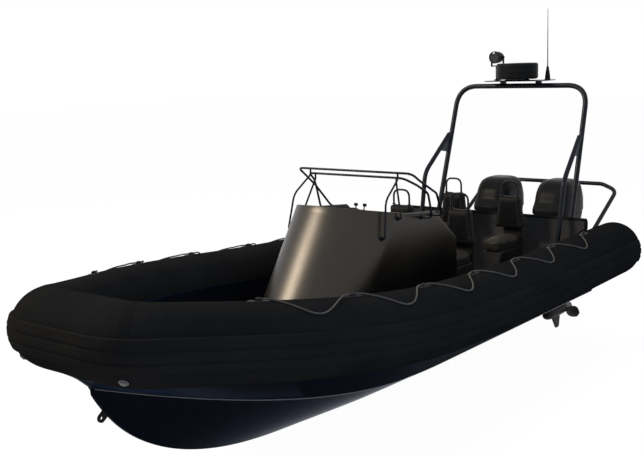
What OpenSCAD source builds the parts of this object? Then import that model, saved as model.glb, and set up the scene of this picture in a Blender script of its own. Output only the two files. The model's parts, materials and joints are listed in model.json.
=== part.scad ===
// Rigid-hull inflatable boat with a centre console, straddle seats, a radar arch and twin outboards.
// Millimetres. +X towards the bow, +Y to port, +Z up, origin on the waterline amidships.

/* [Collar] */
// Radius of the inflated tube
tube_r = 300; // [270:5:320]
// Half breadth of the tube's centre line where it is widest
tube_half_beam = 1350; // [1320:5:1400]
// Station where the tube is widest
tube_widest_x = 600; // [500:10:700]
// Station where the tube's straight run ends at the stern
tube_stern_x = -3300; // [-3350:10:-3280]
// Station of the tube's centre line across the bow
tube_bow_x = 3150; // [3120:10:3200]
// Plan radius of the long bend towards the bow
tube_bend_r = 3660; // [3500:20:3800]
// Angle by which the stern run closes in
tube_taper = 1.2; // [0.6:0.1:2]
// Angle of the run between the long bend and the bow corner
tube_sweep = 27.5; // [25:0.5:30]
// Plan radius of the bow corner
tube_corner_r = 300; // [260:10:340]
// Height of the tube's centre line at the stern
tube_z = 565; // [545:5:585]
// Station where the sheer starts to rise
sheer_start_x = -1500; // [-1800:50:-1200]
// Rise of the tube's centre line at the bow
sheer_rise = 338; // [300:2:360]
// Length of the rounded stern end of the tube
tube_cap_len = 232; // [200:4:260]

/* [Strake and lifelines] */
// Half angle of the rubbing strake about the tube's centre line
strake_deg = 24; // [20:1:26]
// Thickness of the rubbing strake
strake_t = 24; // [16:1:30]
// Stations of the lifeline pads
pad_x = [2350, 1610, 820, 0, -810, -1620, -2430];
// Length of a lifeline pad
pad_len = 170; // [150:5:190]
// Width of a lifeline pad
pad_w = 60; // [50:2:62]
// Thickness of a lifeline pad's base
pad_t = 8; // [6:1:10]
// Diameter of the lifeline
rope_d = 14; // [10:1:16]
// Angle by which the lifeline hangs down the tube's shoulder
rope_sag = 40; // [30:1:44]
// Diameter of an inflation valve
valve_d = 72; // [60:2:84]

/* [Hull] */
// Height of the keel aft
keel_z = -470; // [-500:10:-440]
// Half width of the keel's flat
keel_half = 18; // [14:1:24]
// Station of the stem at the chine
stem_x = 3154; // [3120:2:3180]
// Half breadth of the chine aft
chine_half = 980; // [960:5:1000]
// Height of the chine aft
chine_z = 30; // [10:5:50]
// Height of the stem at the chine
stem_z = 500; // [490:5:520]
// Width of the spray lip on the chine
chine_lip = 35; // [25:1:45]
// Height of the deck
deck_z = 300; // [280:5:320]
// Rise of the deck at the bow
deck_rise = 380; // [340:10:400]
// Station where the deck starts to rise
deck_rise_x = 1700; // [1600:20:1800]
// Thickness of the flange that carries the tube
flange_t = 25; // [20:1:30]
// Thickness of the deck sole
sole_t = 12; // [8:1:16]

/* [Stern] */
// Thickness of the transom plate
transom_t = 60; // [50:2:70]
// Height of the transom plate's top
transom_top_z = 480; // [470:5:490]
// Length of the motor well, from the stern to the aft bulkhead's face at the deck
well_len = 620; // [600:5:630]
// Lean of the aft bulkhead from deck to top
bulkhead_lean = 110; // [100:5:120]
// Height of the aft bulkhead's top
bulkhead_top_z = 950; // [920:5:970]
// Thickness of the aft bulkhead
bulkhead_t = 40; // [34:2:46]
// Half breadth of the aft bulkhead's top
bulkhead_half = 1150; // [1100:10:1170]
// Diameter of the stern rail
stern_rail_d = 50; // [44:2:54]
// Distance of the stern rail's bar behind the stern
stern_rail_back = 990; // [970:10:1030]
// Height of the stern rail's bar
stern_rail_z = 1160; // [1140:5:1190]
// Clearance between the stern rail and the tube
stern_rail_clear = 39; // [30:1:50]

/* [Towing eyes] */
// Diameter of the hole in a towing eye
eye_bore = 26; // [20:1:30]
// Thickness of a towing eye's plate
eye_t = 16; // [12:1:20]
// Outer radius of a towing eye
eye_r = 34; // [30:1:40]

/* [Console] */
// Half breadth of the console
console_half = 540; // [520:5:560]
// Length of the console at the sole
console_len = 2276; // [2250:2:2300]
// Backward rake of the console's front per unit of height
console_rake = 0.663; // [0.62:0.01:0.7]
// Distance of the console's rear edge ahead of the fore seats' backs
console_ahead = 350; // [340:5:370]
// Wall of the console
console_wall = 20; // [16:1:24]
// Height of the rear edge below its slanted cut
console_back_z = 995; // [960:5:1030]
// Run of the slanted cut, from the rear edge to the top
console_cut_run = 396; // [370:2:420]
// Height of the top at the slanted cut
console_cut_z = 1312; // [1300:2:1330]
// Run from the rear edge to where the top starts to rise towards the front
console_brow_run = 870; // [820:10:920]
// Height of the top at that station
console_brow_z = 1356; // [1346:2:1366]
// Height of the top at the front
console_front_z = 1472; // [1450:2:1490]

/* [Helm] */
// Distance of the dashboard's forward face from the console's rear edge
dash_front_in = 1010; // [980:5:1040]
// Distance of the dashboard's kick panel from the console's rear edge
dash_kick_in = 740; // [720:5:760]
// Distance of the lip below the instrument face from the console's rear edge
dash_lip_in = 510; // [490:5:530]
// Height of the lip
dash_lip_z = 1000; // [980:5:1020]
// Distance of the instrument face's upper edge from the console's rear edge
dash_edge_in = 620; // [600:5:640]
// Height of the instrument face's upper edge
dash_edge_z = 1225; // [1210:5:1240]
// Distance of the helm from the centre line
helm_y = -330; // [-336:1:-320]
// Radius of the steering wheel's rim
wheel_r = 160; // [140:2:175]
// Thickness of the rim
wheel_rim_d = 26; // [22:1:30]
// Stand-off of the wheel from the instrument face
wheel_stand = 90; // [80:2:100]
// Diameter of the wheel's shaft
wheel_shaft_d = 30; // [24:1:34]

/* [Console rails] */
// Diameter of the console rails
rail_d = 22; // [18:1:25]
// Height of the upper rail's front bar
rail_z = 1745; // [1730:5:1760]
// Drop from the upper rail to the lower rail
rail_gap = 50; // [44:1:60]
// Distance of the upper rail's front bar from the console's rear edge
rail_front_in = 990; // [975:5:1005]
// Distance of the upper rail's feet from the console's rear edge
rail_foot_in = 470; // [455:5:485]
// Distance of the lower rail's feet from the console's rear edge
low_rail_foot_in = 650; // [635:5:665]
// Distance of the rear struts' feet from the console's rear edge
strut_foot_in = 1040; // [1025:5:1055]
// Height of the rails' feet
rail_foot_z = 1287; // [1280:1:1290]
// Height of the rear struts' feet
strut_seat_z = 1330; // [1320:2:1340]
// Height of the front struts' feet
strut_foot_z = 1178; // [1160:2:1200]
// Half breadth of the upper rail's front bar
rail_half = 670; // [650:5:690]
// Half breadth of the lower rail's front bar
low_rail_half = 556; // [545:1:570]
// Corner radius of the rails
rail_bend = 90; // [70:5:110]

/* [Seats] */
// Clearance between the aft seats' pods and the bulkhead
seat_clear = 57; // [50:1:70]
// Distance between the seats along the boat
seat_pitch = 1093; // [1080:1:1110]
// Distance of the seats from the centre line
seat_y = 364; // [356:1:368]
// Width of a seat pod
pod_w = 240; // [210:5:260]
// Length of a seat pod at the sole
pod_len = 640; // [600:10:660]
// Height of the pod's top
pod_top_z = 650; // [630:5:670]
// Height of the saddle's top
saddle_top_z = 800; // [780:5:820]
// Width of the saddle
saddle_w = 270; // [250:5:290]
// Height of the backrest's lower edge
back_low_z = 840; // [830:2:860]
// Height of the backrest's upper edge
back_top_z = 1222; // [1200:2:1240]
// Width of the backrest at its lower edge
back_low_w = 370; // [350:5:380]
// Width of the backrest at its upper edge
back_top_w = 270; // [260:5:290]
// Thickness of the backrest
back_t = 105; // [90:5:115]
// Height of a hoop above the backrest
hoop_h = 165; // [150:5:180]
// Width of a hoop over its tube centres
hoop_w = 200; // [180:5:220]
// Diameter of a hoop's tube
hoop_d = 22; // [18:1:25]

/* [Arch] */
// Diameter of the arch's tube
arch_d = 60; // [54:2:64]
// Clearance between the arch's feet and the tube
arch_clear = 58.5; // [55:0.5:65]
// Distance of the arch's feet ahead of the stern
arch_foot_ahead = 450; // [440:2:456]
// Rake of the arch, from its feet back to its top bar
arch_rake = 650; // [630:5:680]
// Height of the arch's top bar
arch_top_z = 2404; // [2360:4:2440]
// Half breadth where the arch's sides meet its top
arch_top_half = 850; // [835:5:860]
// Corner radius of the arch
arch_bend = 260; // [220:10:300]
// Height where a brace meets the arch
brace_top_z = 1830; // [1790:10:1860]
// Distance of the bend in a brace ahead of the arch's feet
brace_knee_ahead = 80; // [60:5:100]
// Height of the bend in a brace
brace_knee_z = 1396; // [1370:5:1420]
// Distance of a brace's foot ahead of the arch's feet
brace_foot_ahead = 290; // [270:5:310]
// Height of the gusset plate between a brace and the arch
gusset_h = 220; // [180:5:260]
// Thickness of a gusset plate
gusset_t = 14; // [10:1:18]
// Length of the instrument platform
platform_len = 360; // [340:5:380]
// Half breadth of the instrument platform
platform_half = 392; // [390:2:400]
// Thickness of the instrument platform
platform_t = 10; // [8:1:14]
// Height of the saddles between the top bar and the platform
platform_lift = 28; // [20:1:34]
// Diameter of the radar dome
dome_d = 490; // [460:5:500]
// Height of the radar dome
dome_h = 190; // [170:5:200]
// Height of the radar dome's pedestal
dome_lift = 16; // [12:1:24]
// Offset of the radar dome ahead of the arch's top bar
dome_ahead = 90; // [80:5:100]
// Height of the whip antenna
whip_h = 825; // [780:5:860]
// Distance of the whip antenna from the centre line
whip_y = 330; // [310:5:350]

/* [Searchlight] */
// Offset of the searchlight behind the arch's top bar
light_back = 60; // [56:2:80]
// Distance of the searchlight from the centre line
light_y = -345; // [-360:5:-340]
// Height of the searchlight's axis above the platform
light_h = 278; // [270:2:290]
// Largest radius of the searchlight's head
light_r = 70; // [64:1:74]
// Length of the searchlight's head
light_len = 205; // [190:5:210]

/* [Outboards] */
// Distance of an outboard from the centre line
motor_y = 402; // [396:2:408]
// Distance of the tilt pin behind the transom
pivot_back = 140; // [134:2:146]
// Height of the tilt pin
pivot_z = 520; // [512:2:528]
// Radius of the tilt pin
pivot_r = 18; // [14:1:20]
// Distance of the steering shaft behind the tilt pin
shaft_back = 82; // [78:1:88]
// Radius of the steering shaft
shaft_r = 22; // [18:1:24]
// Wall of the swivel tube
swivel_wall = 22; // [18:1:24]
// Height of the cowl's lower edge
cowl_z = 700; // [696:2:710]
// Height of the cowl
cowl_h = 572; // [560:2:580]
// Half width of the cowl
cowl_half = 226; // [218:1:230]
// Wall of the cowl
cowl_wall = 14; // [10:1:18]
// Height of the propeller shaft
prop_z = -365; // [-380:5:-350]
// Radius of the propeller
prop_r = 188; // [175:1:192]
// Radius of the propeller's hub
hub_r = 58; // [54:1:60]
// Radius of the gearcase
gear_r = 64; // [62:1:68]
// Number of propeller blades
blades = 3; // [3:1:4]

/* [Hidden] */
$fn = 48;

// Clearance between pieces that rest on each other
seat_gap = 0.3;
// Running clearance of pins in their bores
run_gap = 0.05;
tube_sides = 30;
tube_step = 360 / tube_sides;
pipe_sides = 8;
large_pipe_sides = 12;
sole_z = deck_z + sole_t;
port_side = 1;
starboard_side = -1;
sides = [port_side, starboard_side];
// Length of cutters that pass right through a piece
through = 1000;

// Stations, each from the piece that it follows: stern, bulkhead, seats, console, helm
pod_back = -110;
bulkhead_x = tube_stern_x + well_len;
aft_seat_x = bulkhead_x + seat_clear - pod_back;
seat_x = [aft_seat_x + seat_pitch, aft_seat_x];
console_back_x = seat_x[0] + console_ahead;
console_foot_x = console_back_x + console_len;
console_cut_x = console_back_x + console_cut_run;
console_brow_x = console_back_x + console_brow_run;
dash_front_x = console_back_x + dash_front_in;
dash_kick_x = console_back_x + dash_kick_in;
dash_lip_x = console_back_x + dash_lip_in;
dash_edge_x = console_back_x + dash_edge_in;
rail_front_x = console_back_x + rail_front_in;
rail_foot_x = console_back_x + rail_foot_in;
low_rail_foot_x = console_back_x + low_rail_foot_in;
strut_seat_x = console_back_x + strut_foot_in;
arch_foot_x = tube_stern_x + arch_foot_ahead;
arch_top_x = arch_foot_x - arch_rake;
brace_knee_x = arch_foot_x + brace_knee_ahead;
brace_foot_x = arch_foot_x + brace_foot_ahead;
stern_rail_x = tube_stern_x - stern_rail_back;

// Colours
c_rubber = [0.09, 0.09, 0.095];
c_strake = [0.07, 0.07, 0.075];
c_gelcoat = [0.06, 0.07, 0.09];
c_sole = [0.2, 0.2, 0.2];
c_metal = [0.5, 0.51, 0.53];
c_steel = [0.7, 0.71, 0.73];
c_pipe = [0.1, 0.12, 0.17];
c_seat = [0.16, 0.155, 0.15];
c_motor = [0.17, 0.165, 0.16];
c_rope = [0.62, 0.6, 0.55];
c_valve = [0.6, 0.6, 0.6];
c_dark = [0.08, 0.08, 0.085];

// Small vector helpers
function unit(v) = v / norm(v);
function flip(p) = [p[0], -p[1], p[2]];
function lerp(a, b, f) = a + (b - a) * f;
function clamp01(v) = min(1, max(0, v));

// Closed solid through rings with equal counts of points. The rings run so that the order of the
// points is anticlockwise when seen against the direction of travel. Each end is closed by the given
// faces, which name points of one ring in the ring's own order, or else by one flat face.
// The first columns, as many as turned says, have their faces split along the other diagonal.
module skin(rings, first = [], last = [], turned = 0) {
    n = len(rings[0]);
    m = len(rings);
    walls = [for (k = [0:m - 2]) for (j = [0:n - 1])
        let (a = k * n + j, b = k * n + (j + 1) % n)
        each j < turned ? [[a, a + n, b + n], [a, b + n, b]] : [[a, a + n, b], [b, a + n, b + n]]];
    flat = [[for (j = [0:n - 1]) j]];
    start = len(first) > 0 ? first : flat;
    finish = [for (f = len(last) > 0 ? last : flat) [for (i = [len(f) - 1:-1:0]) f[i] + (m - 1) * n]];
    polyhedron(points = [for (r = rings) each r], faces = concat(start, walls, finish));
}

// Points along a route with each inner corner rounded to a bend
function bend_at(a, v, b, r, steps) =
    let (d0 = unit(v - a), d1 = unit(b - v),
         turn = acos(max(-1, min(1, d0 * d1))),
         reach = min(r * tan(turn / 2), 0.48 * norm(v - a), 0.48 * norm(b - v)))
    turn < 1 ? [v] : [for (i = [0:steps]) let (f = i / steps)
        (1 - f) * (1 - f) * (v - d0 * reach) + 2 * f * (1 - f) * v + f * f * (v + d1 * reach)];
function bent(route, r, steps = 4) = concat([route[0]],
    [for (i = [1:1:len(route) - 2]) each bend_at(route[i - 1], route[i], route[i + 1], r, steps)],
    [route[len(route) - 1]]);

// Directions and carried side vectors along a route
function heading(route, i) = let (last = len(route) - 1)
    i == 0 ? unit(route[1] - route[0]) : i == last ? unit(route[last] - route[last - 1]) :
    unit(unit(route[i] - route[i - 1]) + unit(route[i + 1] - route[i]));
function carried(route, i, side) = let (t = heading(route, i), flat = unit(side - t * (side * t)))
    i == len(route) - 1 ? [flat] : concat([flat], carried(route, i + 1, flat));
function circle_ring(c, t, side, r, n) = let (up = cross(t, side))
    [for (j = [0:n - 1]) let (a = 360 * (j + 0.5) / n) c + r * (cos(a) * side + sin(a) * up)];
module pipe(route, d, side, n = pipe_sides) {
    frames = carried(route, 0, side);
    skin([for (i = [0:len(route) - 1]) circle_ring(route[i], heading(route, i), frames[i], d / 2, n)]);
}

// Places a piece at a point, with its X, Y and Z axes along three directions
module set_at(p, x, y, z) {
    multmatrix([[x[0], y[0], z[0], p[0]], [x[1], y[1], z[1], p[1]], [x[2], y[2], z[2], p[2]], [0, 0, 0, 1]])
        children();
}

// Plan of the tube's centre line on the port side, as a distance from its stern end:
// straight run, long bend, straight run, bow corner, straight run across the bow
deg = 180 / PI;
bend_in = [tube_widest_x - tube_bend_r * sin(tube_taper), tube_half_beam - tube_bend_r * (1 - cos(tube_taper))];
bend_out = [tube_widest_x + tube_bend_r * sin(tube_sweep), tube_half_beam - tube_bend_r * (1 - cos(tube_sweep))];
corner_in_x = tube_bow_x - tube_corner_r * (1 - sin(tube_sweep));
run_1 = (bend_in[0] - tube_stern_x) / cos(tube_taper);
run_2 = run_1 + tube_bend_r * (tube_taper + tube_sweep) / deg;
run_3 = run_2 + (corner_in_x - bend_out[0]) / cos(tube_sweep);
corner_in_y = bend_out[1] - (run_3 - run_2) * sin(tube_sweep);
run_4 = run_3 + tube_corner_r * (90 - tube_sweep) / deg;
corner_out_y = corner_in_y - tube_corner_r * cos(tube_sweep);
run_5 = run_4 + corner_out_y;
widest_run = run_1 + tube_bend_r * tube_taper / deg;

function tube_angle(s) = s < run_1 ? tube_taper : s < run_2 ? tube_taper - (s - run_1) / tube_bend_r * deg :
    s < run_3 ? -tube_sweep : s < run_4 ? -tube_sweep - (s - run_3) / tube_corner_r * deg : -90;
function tube_xy(s) = let (a = tube_angle(s))
    s < run_1 ? bend_in - (run_1 - s) * [cos(a), sin(a)] :
    s < run_2 ? [tube_widest_x - tube_bend_r * sin(a), tube_half_beam - tube_bend_r * (1 - cos(a))] :
    s < run_3 ? bend_out + (s - run_2) * [cos(a), sin(a)] :
    s < run_4 ? [corner_in_x + tube_corner_r * (-sin(tube_sweep) - sin(a)),
                 corner_in_y + tube_corner_r * (cos(a) - cos(tube_sweep))] :
    [tube_bow_x, corner_out_y - (s - run_4)];
sheer_span = tube_bow_x - sheer_start_x;
function sheer(x) = tube_z + sheer_rise * pow(max(0, x - sheer_start_x) / sheer_span, 2);
function sheer_slope(x) = 2 * sheer_rise * max(0, x - sheer_start_x) / pow(sheer_span, 2);
function tube_mid(s) = let (p = tube_xy(s)) [p[0], p[1], sheer(p[0])];
function tube_t(s) = let (a = tube_angle(s)) unit([cos(a), sin(a), sheer_slope(tube_xy(s)[0]) * cos(a)]);
function tube_out(s) = let (a = tube_angle(s)) [-sin(a), cos(a), 0];
function tube_up(s) = cross(tube_t(s), tube_out(s));
// Point at an angle about the tube: 0 is outboard, 90 is up
function on_tube(s, a, r) = tube_mid(s) + r * (cos(a) * tube_out(s) + sin(a) * tube_up(s));
// Distance along the centre line at a station, up to the bow corner
function run_at(x) = x < bend_in[0] ? run_1 - (bend_in[0] - x) / cos(tube_taper) :
    x < bend_out[0] ? run_1 + tube_bend_r * (tube_taper + asin((x - tube_widest_x) / tube_bend_r)) / deg :
    run_2 + (x - bend_out[0]) / cos(tube_sweep);

sheer_run = run_at(sheer_start_x);
aft_steps = 3;
aft_runs = concat([0], [for (i = [0:aft_steps - 1]) lerp(sheer_run, run_1, i / aft_steps)]);
bend_steps = 7;
corner_steps = 5;
side_runs = concat(aft_runs, [for (i = [0:bend_steps]) lerp(run_1, run_2, i / bend_steps)],
    [lerp(run_2, run_3, 0.5), run_3]);
corner_runs = [for (i = [1:corner_steps]) lerp(run_3, run_4, i / corner_steps)];
half_runs = concat(side_runs, corner_runs);

// Half breadth of the tube's centre line at a station
function tube_half(x) = tube_xy(run_at(x))[1];
arch_foot_half = tube_half(arch_foot_x) - tube_r - arch_d / 2 - arch_clear;
stern_rail_half = tube_half(tube_stern_x) - tube_r - stern_rail_d / 2 - stern_rail_clear;

function tube_ring(s, r) = [for (j = [0:tube_sides - 1]) on_tube(s, j * tube_step, r)];
cap_steps = 5;
cap_rings = [for (i = [1:cap_steps]) let (a = 90 * i / (cap_steps + 0.4))
    [for (p = tube_ring(0, tube_r * cos(a))) p - tube_t(0) * tube_cap_len * sin(a)]];
collar_side_rings = concat([for (i = [cap_steps - 1:-1:0]) cap_rings[i]],
    [for (s = side_runs) tube_ring(s, tube_r)]);
bow_half_rings = concat([tube_ring(run_3 + seat_gap, tube_r)], [for (s = corner_runs) tube_ring(s, tube_r)]);
function mirror_rings(rings) = [for (i = [len(rings) - 1:-1:0]) [for (p = rings[i]) flip(p)]];

module collar_side() { color(c_rubber) skin(collar_side_rings); }
module collar_port() { collar_side(); }
module collar_starboard() { mirror([0, 1, 0]) collar_side(); }
module collar_bow() { color(c_rubber) skin(concat(bow_half_rings, mirror_rings(bow_half_rings))); }

// Rubbing strake: columns are share of the half angle, share of the thickness
strake_profile = [[-1, 0.2], [-0.9, 0.85], [-0.42, 1], [-0.36, 0.7], [-0.28, 0.7], [-0.22, 1], [0.22, 1],
    [0.28, 0.7], [0.36, 0.7], [0.42, 1], [0.9, 0.85], [1, 0.2]];
strake_feet = [1, 0.5, 0, -0.5, -1];
strake_gap = 3 * seat_gap;
function strake_ring(s) = concat(
    [for (p = strake_profile) on_tube(s, p[0] * strake_deg, tube_r + strake_gap + p[1] * strake_t)],
    [for (f = strake_feet) on_tube(s, f * strake_deg, tube_r + strake_gap)]);
module rub_strake() {
    half_rings = [for (s = half_runs) strake_ring(s)];
    color(c_strake) skin(concat(half_rings, mirror_rings(half_rings)));
}

// Pads: a round-ended base on the tube's top and a bridge that the lifeline runs through
pad_base_r = pad_w / 2;
bridge_len = 60;
bridge_h = rope_d + 8;
rope_lift = pad_t + rope_d / 2 + 3;
pad_seat_r = tube_r * cos(tube_step / 2) + 2 * seat_gap;
pad_runs = [for (x = pad_x) run_at(x)];
// The collar's own flats between its stations
function station(s) = max([for (i = [0:len(half_runs) - 2]) if (half_runs[i] <= s) i]);
function on_flat(s, a, r) = let (i = station(s), f = (s - half_runs[i]) / (half_runs[i + 1] - half_runs[i]))
    lerp(on_tube(half_runs[i], a, r), on_tube(half_runs[i + 1], a, r), f);
// A pad lies along the chord of the tube's top flat between the pad's own ends
top_deg = 90;
function pad_end(s, e) = on_flat(s + e * pad_len / 2, top_deg, pad_seat_r);
function pad_mid(s) = (pad_end(s, 1) + pad_end(s, -1)) / 2;
function pad_along(s) = unit(pad_end(s, 1) - pad_end(s, -1));
function pad_across(s) = let (t = pad_along(s), flat = on_flat(s, top_deg - tube_step / 2, tube_r)
    - on_flat(s, top_deg + tube_step / 2, tube_r)) unit(flat - t * (flat * t));
function pad_up(s) = cross(pad_along(s), pad_across(s));
module lifeline_pad() {
    straight = pad_len - pad_w;
    difference() {
        union() {
            translate([-straight / 2, -pad_base_r, 0]) cube([straight, pad_w, pad_t]);
            for (e = sides) translate([e * straight / 2, 0, 0]) cylinder(r = pad_base_r, h = pad_t);
            translate([-bridge_len / 2, -bridge_h / 2 - 3, 0]) cube([bridge_len, bridge_h + 6, pad_t + bridge_h]);
        }
        translate([-bridge_len, 0, rope_lift]) rotate([0, 90, 0]) cylinder(d = rope_d + 2, h = 2 * bridge_len);
    }
}
module pads_side() {
    for (s = pad_runs) set_at(pad_mid(s), pad_along(s), pad_across(s), pad_up(s)) lifeline_pad();
}
module lifeline_pads() { color(c_dark) { pads_side(); mirror([0, 1, 0]) pads_side(); } }

// Lifeline: straight through each bridge, then down the tube's shoulder in a swag
swag_steps = [0, 0.06, 0.13, 0.22, 0.32, 0.5, 0.68, 0.78, 0.87, 0.94];
rope_clear = 4;
rope_sides = 6;
function smooth(v) = let (c = clamp01(v)) c * c * (3 - 2 * c);
near_bridge = 0.1;
function bridge_point(s, d) = pad_mid(s) + d * pad_along(s) + rope_lift * pad_up(s);
function swag_point(a, b, f) =
    let (off = min(f, 1 - f),
         drop = rope_sag * smooth((off - 0.045) / 0.45),
         reach = lerp(tube_r + rope_d / 2 + rope_clear, pad_seat_r + rope_lift, 1 - smooth((off - 0.11) / 0.1)))
    off > near_bridge ? on_flat(lerp(a, b, f), top_deg - drop, reach) :
    f < near_bridge ? bridge_point(a, f * (b - a)) : bridge_point(b, (f - 1) * (b - a));
lifeline_route = concat([for (i = [len(pad_runs) - 1:-1:1]) each
    [for (f = swag_steps) swag_point(pad_runs[i], pad_runs[i - 1], f)]],
    [swag_point(pad_runs[1], pad_runs[0], 1)]);
module lifeline() { color(c_rope) pipe(lifeline_route, rope_d, [0, 0, 1], rope_sides); }
module lifeline_port() { lifeline(); }
module lifeline_starboard() { mirror([0, 1, 0]) lifeline(); }

// Valves: flat discs with a raised cap on the middle flat of the bow corner's lower shoulder
valve_runs = [corner_runs[1], corner_runs[2]];
valve_degs = [-48, -36];
valve_corners = [for (s = valve_runs) for (a = valve_degs) on_tube(s, a, tube_r)];
valve_mid = (valve_corners[0] + valve_corners[1] + valve_corners[2] + valve_corners[3]) / 4;
valve_along = unit(valve_corners[2] + valve_corners[3] - valve_corners[0] - valve_corners[1]);
valve_up = unit(valve_corners[1] + valve_corners[3] - valve_corners[0] - valve_corners[2]);
valve_out = unit(cross(valve_up, valve_along));
module valve() {
    cylinder(d = valve_d, h = 10);
    cylinder(d = 0.7 * valve_d, h = 18);
}
module inflation_valves() {
    color(c_valve) for (e = [0, 1]) mirror([0, e, 0])
        set_at(valve_mid + seat_gap * valve_out, valve_along, cross(valve_out, valve_along), valve_out) valve();
}

// Hull: sections from keel to deck at the collar's own stations, so that the seat follows the tube
seat_steps = 8;
seat_end_deg = -186;
seat_deg_aft = -114;
seat_deg_bow = -66;
stem_half = 20;
function seat_first(s) = let (w = fore(s)) lerp(seat_deg_aft, seat_deg_bow, w * w);
// The seat's flats clear the tube's corners, whatever the angle between the seat's points
function seat_r(s) = (tube_r + 3 * seat_gap) / cos((seat_first(s) - seat_end_deg) / seat_steps / 2);
function fore(s) = clamp01((s - widest_run) / (run_5 - widest_run));
function hull_x(s) = let (w = fore(s)) w > 0 ? lerp(tube_widest_x, stem_x, w) : tube_xy(s)[0];
function chine_y(s) = stem_half + (chine_half - stem_half) * (1 - pow(fore(s), 2.2));
function ahead(s) = max(0, hull_x(s)) / stem_x;
function chine_height(s) = chine_z + (stem_z - chine_z) * pow(ahead(s), 2);
function keel_height(s) = let (rise = stem_z - 20 - keel_z, u = ahead(s))
    keel_z + rise * (0.75 * pow(u, 3.6) + 0.25 * pow(u, 14));
function deck_height(s) = deck_z + deck_rise * pow(clamp01((hull_x(s) - deck_rise_x) / (stem_x - deck_rise_x)), 1.5);
function hull_half_section(s) =
    let (x = hull_x(s), w = fore(s), cy = chine_y(s), cz = chine_height(s), kz = keel_height(s),
         first = seat_first(s),
         lip = chine_lip * (1 - pow(w, 4)),
         top = on_tube(s, seat_end_deg, seat_r(s)),
         inner = top - flange_t * tube_out(s),
         edge = inner - 0.6 * flange_t * tube_out(s))
    concat([[x, keel_half, kz], [x, lerp(keel_half, cy, 0.5), lerp(kz, cz, 0.5) - 25 * (1 - 2 * w)],
            [x, cy, cz], [x, cy + lip, cz + 12]],
        [for (i = [0:seat_steps]) on_tube(s, lerp(first, seat_end_deg, i / seat_steps), seat_r(s))],
        [inner, [edge[0], edge[1], deck_height(s)]]);
// The stern's face is flat and square to the centre line
function squared(p, s) = s > 0 ? p : [tube_stern_x, p[1], p[2]];
function hull_ring(s) = let (half = [for (p = hull_half_section(s)) squared(p, s)])
    concat(half, [for (i = [len(half) - 1:-1:0]) flip(half[i])]);
hull_runs = concat(half_runs, [run_5 - stem_half]);
section_points = len(hull_half_section(0));
first_seat = 4;
deck_edge = section_points - 1;
function across(a, b) = [a, b, 2 * section_points - 1 - b, 2 * section_points - 1 - a];
stern_faces = concat([for (j = [0:first_seat - 1]) across(j, j + 1)], [across(first_seat, deck_edge),
    [for (j = [first_seat:deck_edge]) j], [for (j = [section_points:2 * section_points - 1 - first_seat]) j]]);
stem_faces = [for (j = [0:deck_edge - 1]) across(j, j + 1)];
module hull() { color(c_gelcoat) skin([for (s = hull_runs) hull_ring(s)], stern_faces, stem_faces, section_points); }

// Half breadth inside the flange at a station of the straight run
function flange_half(x) = let (s = run_at(x)) on_tube(s, seat_end_deg, seat_r(s))[1] - 1.6 * flange_t - 2;

// Sole: a plate inside the flange, from the transom to where the deck rises
sole_fore_x = deck_rise_x - 20;
sole_stations = [tube_stern_x, -1500, -300, 500, 900, 1300, sole_fore_x];
module deck_sole() {
    half = [for (x = sole_stations) [x, flange_half(x) - (x > tube_widest_x ? 0.05 * (x - tube_widest_x) : 0)]];
    color(c_sole) translate([0, 0, deck_z]) linear_extrude(sole_t)
        polygon(concat(half, [for (i = [len(half) - 1:-1:0]) [half[i][0], -half[i][1]]]));
}

// Transom: plate across the stern that the motors hang on
transom_half = flange_half(tube_stern_x + transom_t);
module transom() {
    color(c_gelcoat) translate([tube_stern_x, -transom_half, sole_z])
        cube([transom_t, 2 * transom_half, transom_top_z - sole_z]);
}

// Bulkhead: leaning, hollow-faced wall ahead of the motor well, cut away round the tubes
bulkhead_tube_y = tube_xy(run_at(bulkhead_x - bulkhead_lean / 2))[1];
bulkhead_low_half = flange_half(bulkhead_x - bulkhead_lean) - 4;
module aft_bulkhead() {
    rise = bulkhead_top_z - sole_z;
    steps = 5;
    face = [for (i = [0:steps]) let (f = i / steps) [-bulkhead_lean * (1 - pow(1 - f, 2)), f * rise]];
    color(c_gelcoat) difference() {
        translate([bulkhead_x, bulkhead_half, sole_z]) rotate([90, 0, 0]) linear_extrude(2 * bulkhead_half)
            polygon(concat(face, [for (i = [steps:-1:0]) face[i] - [bulkhead_t, 0]]));
        for (e = sides) {
            translate([bulkhead_x - through / 2, e * bulkhead_tube_y, tube_z]) rotate([0, 90, 0])
                cylinder(r = tube_r + 14, h = through, $fn = 64);
            translate([bulkhead_x - through / 2, e > 0 ? bulkhead_low_half : -bulkhead_low_half - 2 * tube_r, sole_z - 1])
                cube([through, 2 * tube_r, tube_z + 0.3 * tube_r - sole_z]);
        }
    }
}

// Towing eyes: plates with a true bore
module eye_plate(foot) {
    difference() {
        union() {
            cylinder(r = eye_r, h = eye_t, center = true);
            translate([-foot, -eye_r, -eye_t / 2]) cube([foot, 2 * eye_r, eye_t]);
        }
        cylinder(d = eye_bore, h = 4 * eye_t, center = true);
    }
}
stem_low = [hull_x(run_4), keel_height(run_4)];
stem_high = [hull_x(run_5 - stem_half), keel_height(run_5 - stem_half)];
stem_run = unit(stem_high - stem_low);
bow_eye_reach = 60;
bow_eye_at = lerp(stem_low, stem_high, 0.5) + bow_eye_reach * [stem_run[1], -stem_run[0]];
module bow_eye() {
    color(c_steel) translate([bow_eye_at[0], 0, bow_eye_at[1]])
        rotate([0, atan2(stem_run[0], stem_run[1]), 0]) rotate([90, 0, 0]) eye_plate(bow_eye_reach - seat_gap);
}
stern_eye_y = 760;
stern_eye_z = 150;
stern_eye_reach = 60;
module stern_eyes() {
    color(c_steel) for (e = sides)
        translate([tube_stern_x - stern_eye_reach, e * stern_eye_y, stern_eye_z])
            rotate([90, 0, 180]) eye_plate(stern_eye_reach - seat_gap);
}

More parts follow.
